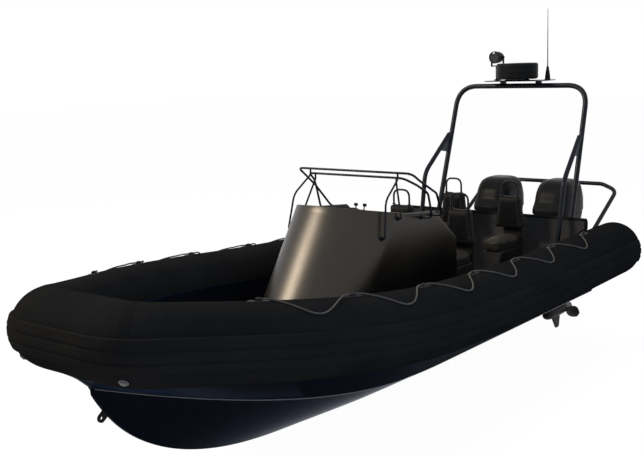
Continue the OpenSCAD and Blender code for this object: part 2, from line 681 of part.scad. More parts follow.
// Console: half-round front raked aft, flat sides, cut by a side profile
console_top_z = console_front_z + 40;
front_steps = 20;
function console_front(z) = console_foot_x - console_rake * (z - sole_z);
function console_section(z, inset, back) = let (r = console_half - inset, c = console_front(z) - console_half)
    concat([[back, -r, z]], [for (i = [0:front_steps]) let (a = -90 + 180 * i / front_steps)
        [c + r * cos(a), r * sin(a), z]], [[back, r, z]]);
console_profile = [[console_back_x, sole_z], [console_foot_x + 50, sole_z], [console_foot_x + 50, console_front_z],
    [console_front(console_front_z), console_front_z], [console_brow_x, console_brow_z],
    [console_cut_x, console_cut_z], [console_back_x, console_back_z]];
module console_shell() {
    color(c_metal) intersection() {
        difference() {
            skin([console_section(sole_z, 0, console_back_x), console_section(console_top_z, 0, console_back_x)]);
            skin([console_section(sole_z - 10, console_wall, console_back_x - 50),
                  console_section(console_top_z + 10, console_wall, console_back_x - 50)]);
        }
        translate([0, 2 * console_half, 0]) rotate([90, 0, 0]) linear_extrude(4 * console_half)
            polygon(console_profile);
    }
}

// Dashboard: block between the console's sides with a slanted instrument face
dash_top_z = dash_edge_z + 45;
dash_half = console_half - console_wall - seat_gap;
face_run = [dash_edge_x - dash_lip_x, dash_edge_z - dash_lip_z];
face_len = norm(face_run);
face_tilt = atan2(face_run[0], face_run[1]);
helm_face = [(dash_edge_x + dash_lip_x) / 2, helm_y, (dash_edge_z + dash_lip_z) / 2];
// Places a piece with its Z axis pointing out of the instrument face and its X axis down the face
module on_face() { translate(helm_face) rotate([0, face_tilt - 90, 0]) rotate([0, 0, 180]) children(); }
bezel_h = 16;
module dashboard() {
    color(c_dark) {
        difference() {
            translate([0, dash_half, 0]) rotate([90, 0, 0]) linear_extrude(2 * dash_half)
                polygon([[dash_front_x, sole_z], [dash_front_x, dash_top_z], [dash_edge_x + 70, dash_top_z],
                    [dash_edge_x, dash_edge_z], [dash_lip_x, dash_lip_z], [dash_kick_x, dash_lip_z - 70],
                    [dash_kick_x, sole_z]]);
            on_face() translate([0, 0, -60]) cylinder(d = wheel_shaft_d + 2 * run_gap, h = 100);
        }
    }
}

// Steering wheel: rim, spokes, hub and the shaft that runs into the dashboard
spoke_count = 3;
module steering_wheel() {
    color(c_dark) on_face() {
        translate([0, 0, wheel_stand]) rotate_extrude() translate([wheel_r, 0]) circle(d = wheel_rim_d, $fn = 20);
        translate([0, 0, wheel_stand]) for (i = [0:spoke_count - 1]) rotate([0, 0, 180 + 360 * i / spoke_count])
            translate([20, -14, -7]) cube([wheel_r - 24, 28, 12]);
        translate([0, 0, wheel_stand - 24]) cylinder(d = 78, h = 36);
        translate([0, 0, -50]) cylinder(d = wheel_shaft_d, h = wheel_stand + 30);
    }
}

// Throttle: a twin-lever control box on the dashboard's top
throttle_x = dash_edge_x + 170;
throttle_y = helm_y + 250;
module throttle() {
    color(c_dark) translate([throttle_x, throttle_y, dash_top_z]) {
        translate([-60, -45, 0]) cube([120, 90, 60]);
        for (e = sides) translate([0, e * 50, 45]) rotate([0, -15, 0]) {
            rotate([90, 0, 0]) cylinder(r = 22, h = 14, center = true);
            translate([-9, -5, 0]) cube([18, 10, 70]);
            translate([0, e * 6, 70]) rotate([90, 0, 0]) cylinder(r = 15, h = 34, center = true);
        }
    }
}

// Console rails: two loops over the console's top that flare out and turn in to seats on its sides
function loop_route(half) = concat(half, [for (i = [len(half) - 1:-1:0]) flip(half[i])]);
low_rail_z = rail_z - rail_gap;
low_rail_x = rail_front_x - 30;
side_seat_y = console_half + seat_gap;
rail_under = rail_d / 2 + seat_gap / 3;
upper_rail_half = [[rail_foot_x, side_seat_y, rail_foot_z], [rail_foot_x, rail_half, rail_foot_z],
    [rail_front_x - 330, rail_half + 55, rail_z - 215],
    [rail_front_x - 115, rail_half + 12, rail_z - 78], [rail_front_x, rail_half, rail_z]];
lower_rail_half = [[low_rail_foot_x, side_seat_y, rail_foot_z], [low_rail_foot_x, rail_half, rail_foot_z],
    [low_rail_x - 240, rail_half, low_rail_z - 160],
    [low_rail_x - 140, 0.5 * (rail_half + low_rail_half), low_rail_z - 78], [low_rail_x, low_rail_half, low_rail_z]];
module console_rails() {
    color(c_pipe) {
        for (half = [upper_rail_half, lower_rail_half])
            pipe(bent(loop_route(half), rail_bend, 3), rail_d, [0, 0, 1]);
    }
}
// Struts: the front pair stands square on the raked front and carries the upper rail, the rear pair
// stands on the sides and carries the lower rail
strut_d = 0.85 * rail_d;
strut_turn = 77;
strut_normal = unit([cos(strut_turn), sin(strut_turn), console_rake * cos(strut_turn)]);
strut_foot = [console_front(strut_foot_z) - console_half + console_half * cos(strut_turn),
    console_half * sin(strut_turn), strut_foot_z];
front_strut = [strut_foot + seat_gap * strut_normal, strut_foot + 45 * strut_normal,
    [strut_foot[0] - 60, strut_foot[1] + 14, lerp(strut_foot_z, rail_z, 0.6)],
    [rail_front_x, strut_foot[1] - 10, rail_z - 60], [rail_front_x, strut_foot[1] - 10, rail_z - rail_under]];
rear_strut_y = low_rail_half - 0.85 * rail_bend;
rear_strut = [[strut_seat_x, side_seat_y, strut_seat_z], [strut_seat_x, side_seat_y + 40, strut_seat_z],
    [low_rail_x, rear_strut_y, low_rail_z - 50], [low_rail_x, rear_strut_y, low_rail_z - rail_under]];
module console_rail_struts() {
    color(c_pipe) for (e = [0, 1]) mirror([0, e, 0]) {
        pipe(bent(front_strut, 70, 3), strut_d, [0, 1, 0]);
        pipe(bent(rear_strut, 40, 2), strut_d, [1, 0, 0]);
    }
}

// Seats: pod with a spine, saddle, backrest and hoop, at each station on each side
module each_seat() { for (x = seat_x) for (e = sides) translate([x, e * seat_y, 0]) children(); }
spine_t = 40;
spine_top_z = back_low_z + 200;
module seat_pods() {
    color(c_seat) each_seat() translate([0, pod_w / 2, 0]) rotate([90, 0, 0]) linear_extrude(pod_w)
        polygon([[pod_back, sole_z], [pod_back + pod_len, sole_z], [pod_back + pod_len - 90, pod_top_z - 110],
            [pod_back + pod_len - 140, pod_top_z], [pod_back + spine_t, pod_top_z],
            [pod_back + spine_t, spine_top_z], [pod_back, spine_top_z]]);
}
saddle_back = pod_back + spine_t + 10;
saddle_fore = pod_back + pod_len - 110;
saddle_round = 60;
module seat_saddles() {
    low = pod_top_z + seat_gap;
    high = saddle_top_z - low - saddle_round;
    color(c_seat) each_seat() translate([0, saddle_w / 2, low]) rotate([90, 0, 0]) linear_extrude(saddle_w) {
        translate([saddle_back, 0]) square([saddle_fore - saddle_back, high]);
        translate([saddle_back + saddle_round, high]) square([saddle_fore - saddle_back - 2 * saddle_round, saddle_round]);
        for (x = [saddle_back + saddle_round, saddle_fore - saddle_round])
            translate([x, high]) circle(r = saddle_round);
    }
}
back_x0 = pod_back + spine_t + seat_gap;
back_round = 34;
function round_loop(loop, r, steps) = let (n = len(loop))
    [for (i = [0:n - 1]) each bend_at(loop[(i + n - 1) % n], loop[i], loop[(i + 1) % n], r, steps)];
module seat_backs() {
    color(c_seat) each_seat() translate([back_x0, 0, 0]) rotate([90, 0, 90]) linear_extrude(back_t)
        polygon(round_loop([[-back_low_w / 2, back_low_z], [back_low_w / 2, back_low_z], [back_top_w / 2, back_top_z],
            [-back_top_w / 2, back_top_z]], back_round, 4));
}
hoop_x = back_x0 + back_t / 2;
module seat_hoops() {
    low = back_top_z + seat_gap;
    top = back_top_z + hoop_h - hoop_d / 2;
    route = bent([[hoop_x, hoop_w / 2, low], [hoop_x, hoop_w / 2, top], [hoop_x, -hoop_w / 2, top],
        [hoop_x, -hoop_w / 2, low]], 0.5 * hoop_w, 5);
    color(c_pipe) each_seat() pipe(route, hoop_d, [1, 0, 0]);
}

// Arch: one raked hoop with two bent braces ahead of it
arch_r = arch_d / 2;
arch_stub = 40;
arch_stub_z = sole_z + arch_stub;
function up_leg(z) = (z - arch_stub_z) / (arch_top_z - arch_stub_z);
function arch_leg_x(z) = lerp(arch_foot_x, arch_top_x, up_leg(z));
function arch_leg_half(z) = lerp(arch_foot_half, arch_top_half, up_leg(z));
module arch_hoop() {
    foot = [arch_foot_x, arch_foot_half, sole_z + seat_gap];
    ankle = [arch_foot_x, arch_foot_half, arch_stub_z];
    head = [arch_top_x, arch_top_half, arch_top_z];
    color(c_pipe) pipe(bent([foot, ankle, head, flip(head), flip(ankle), flip(foot)], arch_bend, 5),
        arch_d, [1, 0, 0], large_pipe_sides);
}
brace_d = 0.9 * arch_d;
brace_bend = 300;
arch_lean = atan2(arch_foot_x - arch_top_x, arch_top_z - arch_stub_z);
brace_lean = atan2(brace_knee_x - arch_leg_x(brace_top_z), brace_top_z - brace_knee_z);
brace_reach = (arch_r + seat_gap + brace_d / 2 * cos(brace_lean - arch_lean)) / cos(arch_lean);
module arch_braces() {
    top = [arch_leg_x(brace_top_z) + brace_reach, arch_leg_half(brace_top_z), brace_top_z];
    knee = [brace_knee_x, arch_foot_half + 20, brace_knee_z];
    foot = [brace_foot_x, arch_foot_half, sole_z + seat_gap];
    ankle = [brace_foot_x, arch_foot_half, arch_stub_z];
    gusset_low = brace_top_z - gusset_h;
    gusset_high = brace_top_z - arch_r;
    function leg_front(z) = arch_leg_x(z) + (arch_r + seat_gap) / cos(arch_lean);
    function brace_mid(z) = lerp(top[0], knee[0], (brace_top_z - z) / (brace_top_z - brace_knee_z));
    color(c_pipe) for (e = [0, 1]) mirror([0, e, 0]) {
        pipe(bent([foot, ankle, knee, top], brace_bend), brace_d, [0, 1, 0], large_pipe_sides);
        translate([0, arch_leg_half(brace_top_z - gusset_h / 2) + gusset_t / 2, 0]) rotate([90, 0, 0])
            linear_extrude(gusset_t) polygon([[leg_front(gusset_high), gusset_high], [leg_front(gusset_low), gusset_low],
                [brace_mid(gusset_low + arch_r), gusset_low + arch_r], [brace_mid(gusset_high), gusset_high]]);
    }
}

// Platform on the arch's top bar, with the radar's pedestal
saddle_z = arch_top_z + arch_r + seat_gap;
platform_z = saddle_z + platform_lift;
saddle_y = 0.6 * platform_half;
platform_top_z = platform_z + platform_t;
dome_x = arch_top_x + dome_ahead;
module arch_platform() {
    color(c_pipe) {
        translate([arch_top_x - platform_len / 2 + 30, -platform_half, platform_z])
            cube([platform_len, 2 * platform_half, platform_t]);
        for (e = sides) translate([arch_top_x - arch_r, e * saddle_y - arch_r, saddle_z])
            cube([arch_d, arch_d, platform_lift + 1]);
        translate([dome_x, 0, platform_top_z]) cylinder(d1 = 0.62 * dome_d, d2 = 0.5 * dome_d, h = dome_lift);
    }
}
module radar_dome() {
    edge = 26;
    color(c_dark) translate([dome_x, 0, platform_top_z + dome_lift]) rotate_extrude() {
        square([dome_d / 2 - edge, dome_h]);
        translate([0, edge]) square([dome_d / 2, dome_h - 2 * edge]);
        for (z = [edge, dome_h - edge]) translate([dome_d / 2 - edge, z]) intersection() {
            circle(r = edge);
            translate([-edge, -2 * edge]) square([2 * edge, 4 * edge]);
        }
    }
}
module whip_antenna() {
    color(c_dark) translate([arch_top_x - 40, whip_y, platform_top_z]) {
        cylinder(d = 70, h = 14);
        translate([0, 0, 14]) cylinder(d1 = 62, d2 = 26, h = 140);
        translate([0, 0, 154]) cylinder(d1 = 12, d2 = 5, h = whip_h - 154);
    }
}

// Searchlight: post on the platform, a yoke that pans and a head that tilts
light_x = arch_top_x - light_back;
light_z = platform_top_z + light_h;
light_clear = 42;
post_h = light_h - light_r - light_clear;
pan_pin_r = 12;
tilt_pin_r = 7;
yoke_arm = 8;
yoke_gap = 6;
module searchlight_post() {
    color(c_dark) translate([light_x, light_y, platform_top_z]) difference() {
        union() {
            cylinder(d = 84, h = 12);
            cylinder(d = 46, h = post_h);
        }
        translate([0, 0, post_h - 40]) cylinder(r = pan_pin_r + run_gap, h = 60);
    }
}
module searchlight_yoke() {
    arm_y = light_r + yoke_gap;
    base_z = platform_top_z + post_h + seat_gap;
    color(c_dark) translate([light_x, light_y, 0]) {
        translate([0, 0, base_z - 36]) cylinder(r = pan_pin_r, h = 40);
        difference() {
            union() {
                translate([-18, -arm_y - yoke_arm, base_z]) cube([36, 2 * (arm_y + yoke_arm), 14]);
                for (e = sides) translate([-18, e > 0 ? arm_y : -arm_y - yoke_arm, base_z])
                    cube([36, yoke_arm, light_z + 16 - base_z]);
            }
            translate([0, 0, light_z]) rotate([90, 0, 0]) cylinder(r = tilt_pin_r + run_gap, h = 400, center = true);
        }
    }
}
module searchlight_head() {
    front = 0.42 * light_len;
    color(c_dark) translate([light_x, light_y, light_z]) {
        rotate([0, -90, 0]) rotate_extrude() intersection() {
            union() {
                translate([0, -front]) square([light_r, 0.3 * light_len]);
                translate([0, -front + 0.3 * light_len]) scale([light_r, 0.7 * light_len]) circle(r = 1);
            }
            translate([0, -front]) square([2 * light_r, light_len]);
        }
        rotate([90, 0, 0]) cylinder(r = tilt_pin_r, h = 2 * (light_r + yoke_gap + yoke_arm), center = true);
    }
}

// Stern rail: leans aft from the transom, then passes behind the motors
stern_rail_bend = 220;
module stern_rail() {
    foot = [tube_stern_x + transom_t / 2, stern_rail_half, transom_top_z + seat_gap];
    ankle = foot + [0, 0, 40];
    shoulder = [stern_rail_x + 30, stern_rail_half, stern_rail_z - 70];
    bar = [stern_rail_x, 0.78 * stern_rail_half, stern_rail_z];
    color(c_pipe) pipe(bent(loop_route([foot, ankle, shoulder, bar]), stern_rail_bend, 4), stern_rail_d, [1, 0, 0],
        large_pipe_sides);
}

// Outboards. Each is modelled on the centre line and moved to its side.
pivot_x = tube_stern_x - pivot_back;
shaft_x = pivot_x - shaft_back;
swivel_r = shaft_r + swivel_wall;
swivel_low_z = 125;
swivel_top_z = pivot_z + 90;
cheek_in = 90;
cheek_t = 30;
clamp_low_z = 190;
clamp_plate_t = 16;
module on_side(e) { translate([0, e * motor_y, 0]) children(); }

module clamp_bracket() {
    ear_r = pivot_r + 20;
    color(c_motor) difference() {
        union() {
            translate([tube_stern_x - seat_gap - clamp_plate_t, -cheek_in - cheek_t, clamp_low_z])
                cube([clamp_plate_t, 2 * (cheek_in + cheek_t), pivot_z - 20 - clamp_low_z]);
            for (e = sides) translate([0, e > 0 ? cheek_in + cheek_t : -cheek_in, 0]) rotate([90, 0, 0])
                linear_extrude(cheek_t) {
                    translate([pivot_x, pivot_z]) circle(r = ear_r);
                    polygon([[tube_stern_x - seat_gap, clamp_low_z], [tube_stern_x - seat_gap, pivot_z - 20],
                        [pivot_x, pivot_z + ear_r], [pivot_x - ear_r, pivot_z], [tube_stern_x - 70, clamp_low_z]]);
                }
        }
        translate([pivot_x, 0, pivot_z]) rotate([90, 0, 0])
            cylinder(r = pivot_r + run_gap, h = 400, center = true);
    }
}
module swivel_bracket() {
    inner = cheek_in - 0.5;
    color(c_motor) difference() {
        union() {
            translate([pivot_x, 0, pivot_z]) rotate([90, 0, 0]) {
                cylinder(r = pivot_r, h = 2 * (cheek_in + cheek_t), center = true);
                cylinder(r = pivot_r + 10, h = 2 * inner, center = true);
            }
            translate([shaft_x, -55, pivot_z - 50]) cube([shaft_back, 110, 76]);
            translate([shaft_x, 0, swivel_low_z]) cylinder(r = swivel_r, h = swivel_top_z - swivel_low_z);
        }
        translate([shaft_x, 0, 0]) cylinder(r = shaft_r + run_gap, h = through);
    }
}

// Oval rings of a motor's housing: columns are height, front, rear, half width
oval_points = 24;
function oval_ring(z, front, rear, half, power) =
    let (mid = (front + rear) / 2, reach = (front - rear) / 2)
    [for (i = [0:oval_points - 1]) let (a = 360 * (i + 0.5) / oval_points, c = cos(a), s = sin(a))
        [mid + reach * sign(c) * pow(abs(c), power), half * sign(s) * pow(abs(s), power), z]];
module housing(table, power = 0.72) { skin([for (r = table) oval_ring(r[0], r[1], r[2], r[3], power)]); }

cowl_fore = shaft_x + 190;
cowl_aft = shaft_x - 530;
cowl_power = 0.58;
// Columns: share of the height, set-back of the front, set-in of the rear, share of the half width
cowl_rows = [[0, 30, 30, 0.86], [0.3, 14, 10, 0.965], [0.32, 0, 0, 1], [0.4, 0, 0, 1], [0.58, 62, 8, 0.985],
    [0.75, 108, 30, 0.93], [0.88, 165, 74, 0.82], [0.96, 226, 132, 0.62], [1, 292, 205, 0.36]];
function cowl_table(inset) = [for (r = cowl_rows) [cowl_z + r[0] * (cowl_h - inset) - (r[0] == 0 ? inset / 14 : 0),
    cowl_fore - r[1] - inset, cowl_aft + r[2] + inset, r[3] * cowl_half - inset]];
module cowl() {
    color(c_motor) difference() {
        housing(cowl_table(0), cowl_power);
        housing(cowl_table(cowl_wall), cowl_power);
    }
}
power_half = 130;
module powerhead() {
    color(c_dark) translate([shaft_x - 400, -power_half, cowl_z + seat_gap]) cube([440, 2 * power_half, 0.66 * cowl_h]);
}

plate_z = -165;
plate_t = 14;
// Columns: height, front and rear from the steering shaft, half width
leg_rows = [[plate_z + plate_t / 2, -70, -270, 30], [-120, -66, -285, 62], [0, -62, -280, 70],
    [330, -62, -300, 86], [560, -64, -350, 104], [swivel_top_z + 4, -64, -400, 128], [660, 70, -450, 158],
    [cowl_z, cowl_fore - shaft_x - 40, cowl_aft - shaft_x + 40, 0.86 * cowl_half - 9]];
gear_aft = -330;
gear_fore = 190;
prop_shaft_r = 16;
prop_shaft_len = 120;
module leg() {
    color(c_motor) {
        translate([shaft_x, 0, 0]) {
            housing(leg_rows, 0.65);
            translate([0, 0, plate_z]) linear_extrude(plate_t) polygon([[40, -40], [40, 40], [-120, 118], [-420, 118],
                [-420, -118], [-120, -118]]);
            housing([[prop_z, -10, -250, 26], [plate_z + plate_t / 2, -40, -270, 30]]);
            translate([gear_aft + 1, 0, prop_z]) rotate([0, -90, 0]) cylinder(r = prop_shaft_r, h = prop_shaft_len);
            translate([gear_aft, 0, prop_z]) rotate([0, 90, 0]) rotate_extrude() {
                square([gear_r, gear_fore - gear_aft - 150]);
                translate([0, gear_fore - gear_aft - 150]) intersection() {
                    scale([gear_r, 150]) circle(r = 1);
                    square([gear_r, 150]);
                }
            }
            translate([0, 7, 0]) rotate([90, 0, 0]) linear_extrude(14) polygon([[30, prop_z], [-250, prop_z],
                [-210, prop_z - 215], [-120, prop_z - 215]]);
            translate([0, 0, swivel_low_z - 45]) cylinder(r = shaft_r, h = swivel_top_z - swivel_low_z + 75);
            translate([-120, -40, swivel_low_z - 45]) cube([130, 80, 40]);
            translate([-120, -48, swivel_top_z + 5]) cube([140, 96, 40]);
        }
    }
}

// Propeller: a hub on the gearcase's shaft with raked, twisted blades
prop_x = shaft_x + gear_aft - 4;
hub_len = 150;
blade_steps = 6;
// Blade ring: a thin lens across the chord, turned to the pitch at its radius
function blade_ring(r) =
    let (f = (r - 0.6 * hub_r) / (prop_r - 0.6 * hub_r), chord = 150 * pow(sin(35 + 130 * f), 0.8), thick = lerp(9, 4, f),
         pitch = atan2(480, 2 * PI * r), half = chord / 2, back = -hub_len / 2 - 20 * f)
    [for (q = [[1, 0], [0.5, 1], [0, 1.2], [-0.5, 1], [-1, 0], [-0.5, -1], [0, -1.2], [0.5, -1]])
        let (u = q[0] * half, v = q[1] * thick / 2)
        [back + u * sin(pitch) - v * cos(pitch), u * cos(pitch) + v * sin(pitch), r]];
module propeller() {
    color(c_dark) translate([prop_x, 0, prop_z]) {
        rotate([0, -90, 0]) difference() {
            union() {
                cylinder(r1 = hub_r, r2 = hub_r - 6, h = hub_len);
                translate([0, 0, hub_len]) cylinder(r1 = 30, r2 = 18, h = 36);
            }
            translate([0, 0, -1]) cylinder(r = prop_shaft_r + run_gap, h = prop_shaft_len + 3);
        }
        for (i = [0:blades - 1]) rotate([360 * i / blades, 0, 0])
            skin([for (k = [0:blade_steps]) blade_ring(lerp(0.6 * hub_r, prop_r, k / blade_steps))]);
    }
}

module clamp_port() { on_side(port_side) clamp_bracket(); }
module clamp_starboard() { on_side(starboard_side) clamp_bracket(); }
module swivel_port() { on_side(port_side) swivel_bracket(); }
module swivel_starboard() { on_side(starboard_side) swivel_bracket(); }
module leg_port() { on_side(port_side) leg(); }
module leg_starboard() { on_side(starboard_side) leg(); }
module powerhead_port() { on_side(port_side) powerhead(); }
module powerhead_starboard() { on_side(starboard_side) powerhead(); }
module cowl_port() { on_side(port_side) cowl(); }
module cowl_starboard() { on_side(starboard_side) cowl(); }
module propeller_port() { on_side(port_side) propeller(); }
module propeller_starboard() { mirror([0, 1, 0]) on_side(port_side) propeller(); }

hull();
deck_sole();
transom();
aft_bulkhead();
collar_bow();
collar_port();
collar_starboard();
rub_strake();
lifeline_pads();
lifeline_port();
lifeline_starboard();
inflation_valves();
bow_eye();
stern_eyes();
console_shell();
dashboard();
steering_wheel();
throttle();
console_rails();
console_rail_struts();
seat_pods();
seat_saddles();
seat_backs();
seat_hoops();
arch_hoop();
arch_braces();
arch_platform();
radar_dome();
whip_antenna();
searchlight_post();
searchlight_yoke();
searchlight_head();
stern_rail();
clamp_port();
clamp_starboard();
swivel_port();
swivel_starboard();
leg_port();
leg_starboard();
powerhead_port();
powerhead_starboard();
cowl_port();
cowl_starboard();
propeller_port();
propeller_starboard();
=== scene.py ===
"""Rigid inflatable boat with a raked console, straddle seats, a radar arch and twin outboards.

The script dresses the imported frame: smooth skins worked out with numpy stand for the faceted solids, and each
surface gets a node-based finish. Metres; +X towards the bow, +Y to port, +Z up, origin on the waterline.
"""
from __future__ import annotations

import json
import logging
import math
from dataclasses import dataclass, field
from enum import Enum
from functools import cached_property
from typing import Callable, Iterable, Sequence

import bmesh
import bpy
import numpy as np
from mathutils import Matrix, Vector
from mathutils.geometry import tessellate_polygon

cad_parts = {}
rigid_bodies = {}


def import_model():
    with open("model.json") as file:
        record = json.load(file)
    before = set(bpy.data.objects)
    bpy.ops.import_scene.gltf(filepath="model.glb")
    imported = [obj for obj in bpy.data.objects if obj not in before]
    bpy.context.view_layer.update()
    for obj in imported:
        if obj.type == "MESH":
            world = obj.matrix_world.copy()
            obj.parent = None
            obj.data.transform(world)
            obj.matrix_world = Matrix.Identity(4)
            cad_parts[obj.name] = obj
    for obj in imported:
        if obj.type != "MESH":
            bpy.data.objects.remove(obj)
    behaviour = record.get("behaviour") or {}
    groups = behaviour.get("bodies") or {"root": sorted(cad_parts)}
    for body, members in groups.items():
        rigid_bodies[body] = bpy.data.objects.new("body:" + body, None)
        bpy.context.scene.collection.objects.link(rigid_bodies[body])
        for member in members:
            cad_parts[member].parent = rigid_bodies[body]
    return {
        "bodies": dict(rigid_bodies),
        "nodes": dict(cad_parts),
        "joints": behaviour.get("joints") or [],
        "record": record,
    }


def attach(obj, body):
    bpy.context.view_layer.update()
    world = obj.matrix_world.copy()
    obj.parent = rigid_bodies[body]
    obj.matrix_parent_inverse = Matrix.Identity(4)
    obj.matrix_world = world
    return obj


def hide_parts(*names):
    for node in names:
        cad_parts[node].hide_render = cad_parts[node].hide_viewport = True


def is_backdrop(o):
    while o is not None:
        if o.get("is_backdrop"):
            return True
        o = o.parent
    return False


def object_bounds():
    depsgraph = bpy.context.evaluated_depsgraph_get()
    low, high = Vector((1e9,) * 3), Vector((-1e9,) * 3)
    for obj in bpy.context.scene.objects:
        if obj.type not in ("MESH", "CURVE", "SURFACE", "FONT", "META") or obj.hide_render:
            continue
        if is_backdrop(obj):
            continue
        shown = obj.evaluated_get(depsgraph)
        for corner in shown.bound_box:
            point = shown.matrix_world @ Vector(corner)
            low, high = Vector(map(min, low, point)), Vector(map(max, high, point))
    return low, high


Array = np.ndarray
Numbers = Sequence[float]
Table = Sequence[Numbers]
Colour = tuple[float, float, float]
Feeds = dict[str | int, object]
LOG = logging.getLogger("boat")

X_AXIS = (1.0, 0.0, 0.0)
Y_AXIS = (0.0, 1.0, 0.0)
Z_AXIS = (0.0, 0.0, 1.0)
SIGNS = (1.0, -1.0)
SOLE_Z = 0.312  # Top of the cockpit sole
FIT = 0.0003  # Gap between pieces that stand on each other
FLOOR_DROP = 0.002  # Floor under the lowest point
WELD = 2e-5  # Points nearer than this become one
CLOTH_FRAMES = 20  # Steps that fill a pad


class Body(str, Enum):
    """Bodies of the frame that pieces ride on."""

    BOAT = "boat"
    HELM = "helm"
    LIGHT_YOKE = "light_yoke"
    LIGHT_HEAD = "light_head"
    SWIVEL_PORT = "swivel_port"
    SWIVEL_STARBOARD = "swivel_starboard"
    MOTOR_PORT = "motor_port"
    MOTOR_STARBOARD = "motor_starboard"
    PROP_PORT = "prop_port"
    PROP_STARBOARD = "prop_starboard"


class Side(Enum):
    """Sides of the boat, as the sign of Y."""

    PORT = 1
    STARBOARD = -1

    @property
    def word(self) -> str:
        """Name of the side as the frame's nodes use it."""
        return self.name.lower()


class Grain(Enum):
    """Fine relief of a surface."""

    WEAVE = "weave"
    PEBBLE = "pebble"
    BRUSHED = "brushed"
    TREAD = "tread"


# Vector and curve helpers


def unit(vectors: Array) -> Array:
    """Scale vectors along the last axis to length one."""
    return vectors / np.linalg.norm(vectors, axis=-1, keepdims=True)


def smooth_step(value: Array) -> Array:
    """Cubic ease from 0 to 1 over the range 0 to 1."""
    held = np.clip(value, 0.0, 1.0)
    return held * held * (3.0 - 2.0 * held)


def flip_y(points: Array) -> Array:
    """Mirror points in the centre plane."""
    return points * np.array([1.0, -1.0, 1.0])


def full_turn(count: int) -> Array:
    """Angles spread evenly round a circle."""
    return np.linspace(0.0, 2 * np.pi, count, endpoint=False)


def quarter_turn(count: int) -> Array:
    """Angles spread evenly from 0 to a right angle, both included."""
    return np.linspace(0.0, np.pi / 2, count)


def rectangle(length: float, breadth: float) -> Array:
    """Corners of a rectangle about the origin, anticlockwise."""
    return np.array([(-1, -1), (1, -1), (1, 1), (-1, 1)]) * (length / 2, breadth / 2)


def bend(before: Array, here: Array, after: Array, radius: float, steps: int) -> Array:
    """Round a corner with the quadratic curve between the points where a bend leaves the two straights.

    Args:
        before: Point before the corner.
        here: The corner.
        after: Point after the corner.
        radius: Radius of the bend.
        steps: Number of stretches in the bend.

    Returns:
        Points of the bend.
    """
    share = np.linspace(0.0, 1.0, steps + 1)[:, None]
    into, out = here - before, after - here
    lengths = np.linalg.norm(into), np.linalg.norm(out)
    into, out = into / lengths[0], out / lengths[1]
    turn = math.acos(float(np.clip(into @ out, -1.0, 1.0)))
    most = 0.48 * min(lengths)
    reach = min(radius * math.tan(turn / 2), most)
    start, end = here - into * reach, here + out * reach
    return (1 - share) ** 2 * start + 2 * share * (1 - share) * here + share ** 2 * end


def rounded_route(corners: Table, radius: float, steps: int = 10) -> Array:
    """Round the inner corners of a route.

    Args:
        corners: Points of the route.
        radius: Radius of the bends.
        steps: Number of stretches in each bend.

    Returns:
        Points along the rounded route.
    """
    route = np.asarray(corners, float)
    trios = zip(route[:-2], route[1:-1], route[2:])
    bends = [bend(before, here, after, radius, steps) for before, here, after in trios]
    return np.concatenate([route[:1], *bends, route[-1:]])


def loop_route(half: Table) -> Array:
    """Carry a port half route across to its mirrored starboard half."""
    port = np.asarray(half, float)
    return np.concatenate([port, flip_y(port[::-1])])


def rounded_outline(corners: Table, radius: float | Numbers, steps: int = 6) -> Array:
    """Closed outline with rounded corners.

    Args:
        corners: Corners, anticlockwise.
        radius: Radius of the corners, or one for each.
        steps: Number of stretches in each corner.

    Returns:
        Points of the outline.
    """
    loop = np.asarray(corners, float)
    radii = np.broadcast_to(np.asarray(radius, float), (len(loop),))
    trios = zip(np.roll(loop, 1, 0), loop, np.roll(loop, -1, 0), radii)
    return np.concatenate([bend(before, here, after, r, steps) for before, here, after, r in trios])


def even_loop(loop: Array, count: int) -> Array:
    """Spread points evenly along a closed outline.

    Args:
        loop: Points of the outline.
        count: Number of points wanted.

    Returns:
        Points at equal distances along it.
    """
    closed = np.vstack([loop, loop[:1]])
    travel = np.concatenate([[0.0], np.cumsum(np.linalg.norm(np.diff(closed, axis=0), axis=1))])
    places = np.linspace(0.0, travel[-1], count, endpoint=False)
    return np.stack([np.interp(places, travel, closed[:, k]) for k in range(closed.shape[1])], -1)


def outline_normals(loop: Array) -> Array:
    """Outward directions at an anticlockwise outline's points, long enough to keep its edges parallel.

    Args:
        loop: Points of the outline.

    Returns:
        One direction per point.
    """
    edges = unit(np.roll(loop, -1, 0) - loop)
    out = np.stack([edges[:, 1], -edges[:, 0]], -1)
    mean = unit(out + np.roll(out, 1, 0))
    return mean / np.maximum(0.5, np.sum(mean * out, -1, keepdims=True))


def smooth_table(rows: Array, places: Array) -> Array:
    """Read a table of rows with smooth curves between them.

    Each stretch is a cubic whose slope at a row is the harmonic mean of the slopes on both sides, or level
    where those differ in sign, so that the curve stays between its rows.

    Args:
        rows: Table whose first column is the place and whose others are values.
        places: Places to read at.

    Returns:
        One row of values for each place.
    """
    at, values = rows[:, 0], rows[:, 1:]
    steep = np.diff(values, axis=0) / np.diff(at)[:, None]
    product, total = steep[:-1] * steep[1:], steep[:-1] + steep[1:]
    inner = np.where(product > 0, 2 * product / np.where(total == 0, 1.0, total), 0.0)
    slopes = np.concatenate([steep[:1], inner, steep[-1:]])
    k = np.clip(np.searchsorted(at, places, side="right") - 1, 0, len(at) - 2)
    span = (at[k + 1] - at[k])[:, None]
    f = (places - at[k])[:, None] / span
    start = (2 * f ** 3 - 3 * f ** 2 + 1) * values[k] + (f ** 3 - 2 * f ** 2 + f) * span * slopes[k]
    return start + (3 * f ** 2 - 2 * f ** 3) * values[k + 1] + (f ** 3 - f ** 2) * span * slopes[k + 1]


def with_rows(rows: Array, count: int) -> Array:
    """Even places along a table's first column, with its own places among them."""
    return np.unique(np.concatenate([np.linspace(rows[0, 0], rows[-1, 0], count), rows[:, 0]]))


# Surfaces


